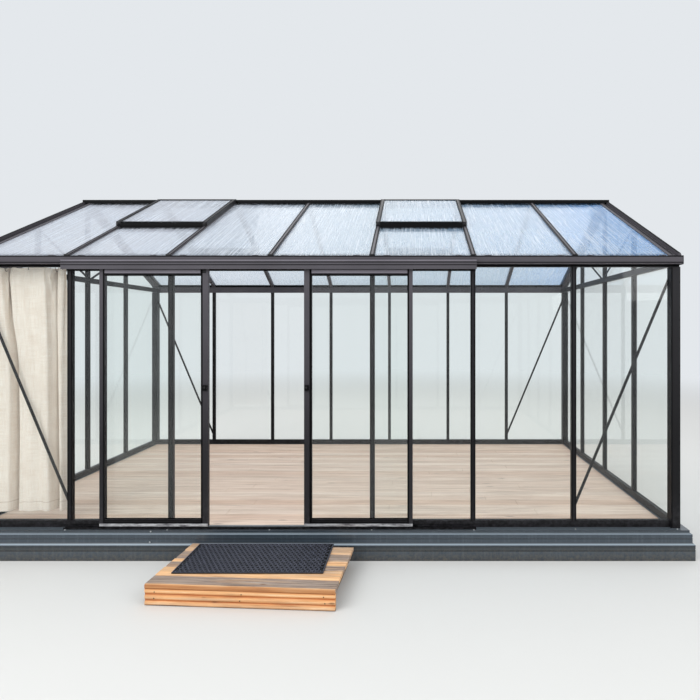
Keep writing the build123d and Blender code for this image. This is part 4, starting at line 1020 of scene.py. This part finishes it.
# door leaves: rubber round the glass with painted shade in the flange's recess, a pale metal strip along the bottom
# edge, painted light along the top rail, and a plug in the top of the meeting stile
leafTrim = {"outerRubber": 0.012, "railRubber": 0.008, "thick": 0.0015, "stile": 0.038, "recess": 0.009,
            "flange": 0.016, "topRail": 0.044, "bottomRail": 0.047, "paleStripMiddle": 0.011, "paleStripWide": 0.019,
            "plug": 0.024, "onGlass": (0.008, 0.004), "glassFaces": ((-1.501, (0, -1, 0)), (-1.497, (0, 1, 0))),
            "railHighlightLine": 0.0235, "railHighlightWide": 0.023}
lock = {"radius": 0.0085, "rise": 0.005, "up": 0.006, "rim": 0.0016, "sunk": 0.0012, "keyway": 0.0042,
        "keyDeep": 0.0018}
for leaf, way in (("door_left", -1), ("door_right", 1)):
    low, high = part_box(leaf + "_stiles")
    meeting, outer = (high.x, low.x) if way < 0 else (low.x, high.x)
    face, thick, out = low.y, leafTrim["thick"], (0, -1, 0)
    glassEdge = meeting + way * (leafTrim["stile"] + leafTrim["flange"])
    stileEdge = outer - way * leafTrim["stile"]
    glassTop, glassFoot = high.z - leafTrim["topRail"], low.z + leafTrim["bottomRail"]

    def layAcross(z, wide, thick, y=face, up=out):
        return layStrip((glassEdge, y, z), (stileEdge, y, z), wide, thick, up)

    x = stileEdge + way * leafTrim["outerRubber"] / 2
    parts = [layStrip((x, face, low.z + 0.022), (x, face, high.z - 0.002), leafTrim["outerRubber"], thick, out)]
    # painted shade: a black strip over the recessed flange beside the meeting stile
    x = meeting + way * (leafTrim["stile"] + leafTrim["flange"] / 2)
    y = face + leafTrim["recess"]
    parts.append(layStrip((x, y, low.z + 0.002), (x, y, high.z - 0.002), leafTrim["flange"] - 0.001, thick, out))
    for z in (glassTop + leafTrim["railRubber"] / 2, glassFoot - leafTrim["railRubber"] / 2):
        parts.append(layAcross(z, leafTrim["railRubber"], thick))
    parts.append(layAcross(glassFoot - 0.018, 0.014, thick * 0.6))
    for z, (y, up) in product((glassTop - 0.004, glassFoot + 0.004), leafTrim["glassFaces"]):  # on the glass itself
        parts.append(layAcross(z, *leafTrim["onGlass"], y, up))
    settle(joinPieces(parts), leaf + "_rubber", rubberAndShadowBlack, body=leaf)
    z = low.z + leafTrim["paleStripMiddle"]
    ends = (meeting + way * 0.001, face, z), (outer - way * 0.001, face, z)
    strip = layStrip(*ends, leafTrim["paleStripWide"], 0.0025, out)
    settle(strip, leaf + "_bottom_edge", palePatchyAluminium, body=leaf)
    # painted light: a pale band across the top rail, which lies in the cover's shadow
    strip = layAcross(high.z - leafTrim["railHighlightLine"], leafTrim["railHighlightWide"], 0.0008)
    settle(strip, leaf + "_top_rail_painted_highlight", paintedHighlightCoat, body=leaf)
    ends = sorted((meeting + way * leafTrim["stile"], meeting + way * leafTrim["stile"] - way * leafTrim["plug"]))
    plug = addBlock((ends[0], face - 0.0025, high.z - (0.034 if way < 0 else 0.008)),
                    (ends[1], face + 0.004, high.z + 0.0015))
    settle(bevelAll(plug, 0.002, 2), leaf + "_stile_plug", nylon, body=leaf)
    lockLow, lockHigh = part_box(leaf + "_handle")
    centre = ((lockLow.x + lockHigh.x) / 2, lockLow.y - 0.002, (lockLow.z + lockHigh.z) / 2 + lock["up"])
    barrel = addCylinder(28, lock["radius"], lock["rise"], centre, (math.radians(90), 0, 0))
    pick(barrel, "FACE", lambda face: face.normal.y < -0.9)
    bpy.ops.mesh.inset(thickness=lock["rim"])
    bpy.ops.transform.translate(value=(0, lock["sunk"], 0))
    pick(barrel, "FACE", lambda face: face.normal.y < -0.9 and face.calc_area() > 5e-5)  # the keyway
    bpy.ops.mesh.inset(thickness=lock["keyway"])
    bpy.ops.transform.resize(value=(0.35, 1, 1.25))
    bpy.ops.transform.translate(value=(0, lock["keyDeep"], 0))
    leaveEdit()
    settle(barrel, leaf + "_lock_barrel", nylon, body=leaf)
bpy.data.objects.remove(unitStrip)
print("leaves trimmed")

# stage: a plain pale floor that fades into a pale backdrop, and soft light
studio = {"floorColour": "#D6D5D2", "skyColour": "#E4E8EC", "worldLight": 0.9, "fadeFrom": 7.0, "fadeTo": 17.0}
leaveEdit()
bpy.ops.mesh.primitive_plane_add(size=120, location=(0, 0, -0.0005))
ground = bpy.context.object
ground.name = "studioFloor"
pale, add, place = newFinish("paleStudioFloor")
away = add("VectorMath", {"operation": "LENGTH", 0: place})
fade = add("MapRange", {"interpolation_type": "SMOOTHSTEP", "From Min": studio["fadeFrom"],
                        "From Max": studio["fadeTo"], "Value": away})
path = add("LightPath")
seen = add("Math", {"operation": "MAXIMUM", 0: path.outputs["Is Camera Ray"], 1: path.outputs["Is Glossy Ray"]})
share = add("Math", {"operation": "MULTIPLY", 0: seen, 1: fade})
shader = add("BsdfPrincipled", {"Base Color": studio["floorColour"], "Roughness": 0.95,
                                "Specular IOR Level": 0.2})
backdrop = add("Emission", {"Color": studio["skyColour"]})
mixed = add("MixShader", {0: share, 1: shader, 2: backdrop})
add("OutputMaterial", {"Surface": mixed})
ground.data.materials.append(pale)

world = bpy.data.worlds.new("softStudio")
scene.world = world
add = startNodes(world)
path = add("LightPath")
seen = add("Math", {"operation": "MAXIMUM", 0: path.outputs["Is Camera Ray"], 1: path.outputs["Is Glossy Ray"]})
seen = add("Math", {"operation": "MAXIMUM", 0: seen, 1: path.outputs["Is Transmission Ray"]})
lightSky = add("Background", {"Color": (0.94, 0.97, 1.0, 1), "Strength": studio["worldLight"]})
shownSky = add("Background", {"Color": studio["skyColour"]})
mixed = add("MixShader", {0: seen, 1: lightSky, 2: shownSky})
add("OutputWorld", {"Surface": mixed})

lampSet = {
    "keySoftbox": ((-4.5, -7.0, 6.5), (0, 0, 1.0), 6.0, 420),
    "fillSoftbox": ((6.0, -6.0, 4.5), (0, 0, 1.2), 5.0, 160),
    "topSoftbox": ((0.5, 3.0, 8.0), (0, 0, 1.5), 7.0, 220),
}
for name, (spot, target, size, power) in lampSet.items():
    lampData = bpy.data.lights.new(name, "AREA")
    lampData.shape = "SQUARE"
    lampData.size = size
    lampData.energy = power
    lamp = bpy.data.objects.new(name, lampData)
    lamp.location = spot
    lamp.rotation_euler = (Vector(target) - Vector(spot)).to_track_quat("-Z", "Y").to_euler()
    lamp.visible_camera = False
    scene.collection.objects.link(lamp)

scene.view_settings.view_transform = "Standard"
scene.cycles.transparent_max_bounces = 32  # panes behind panes
print("stage set")
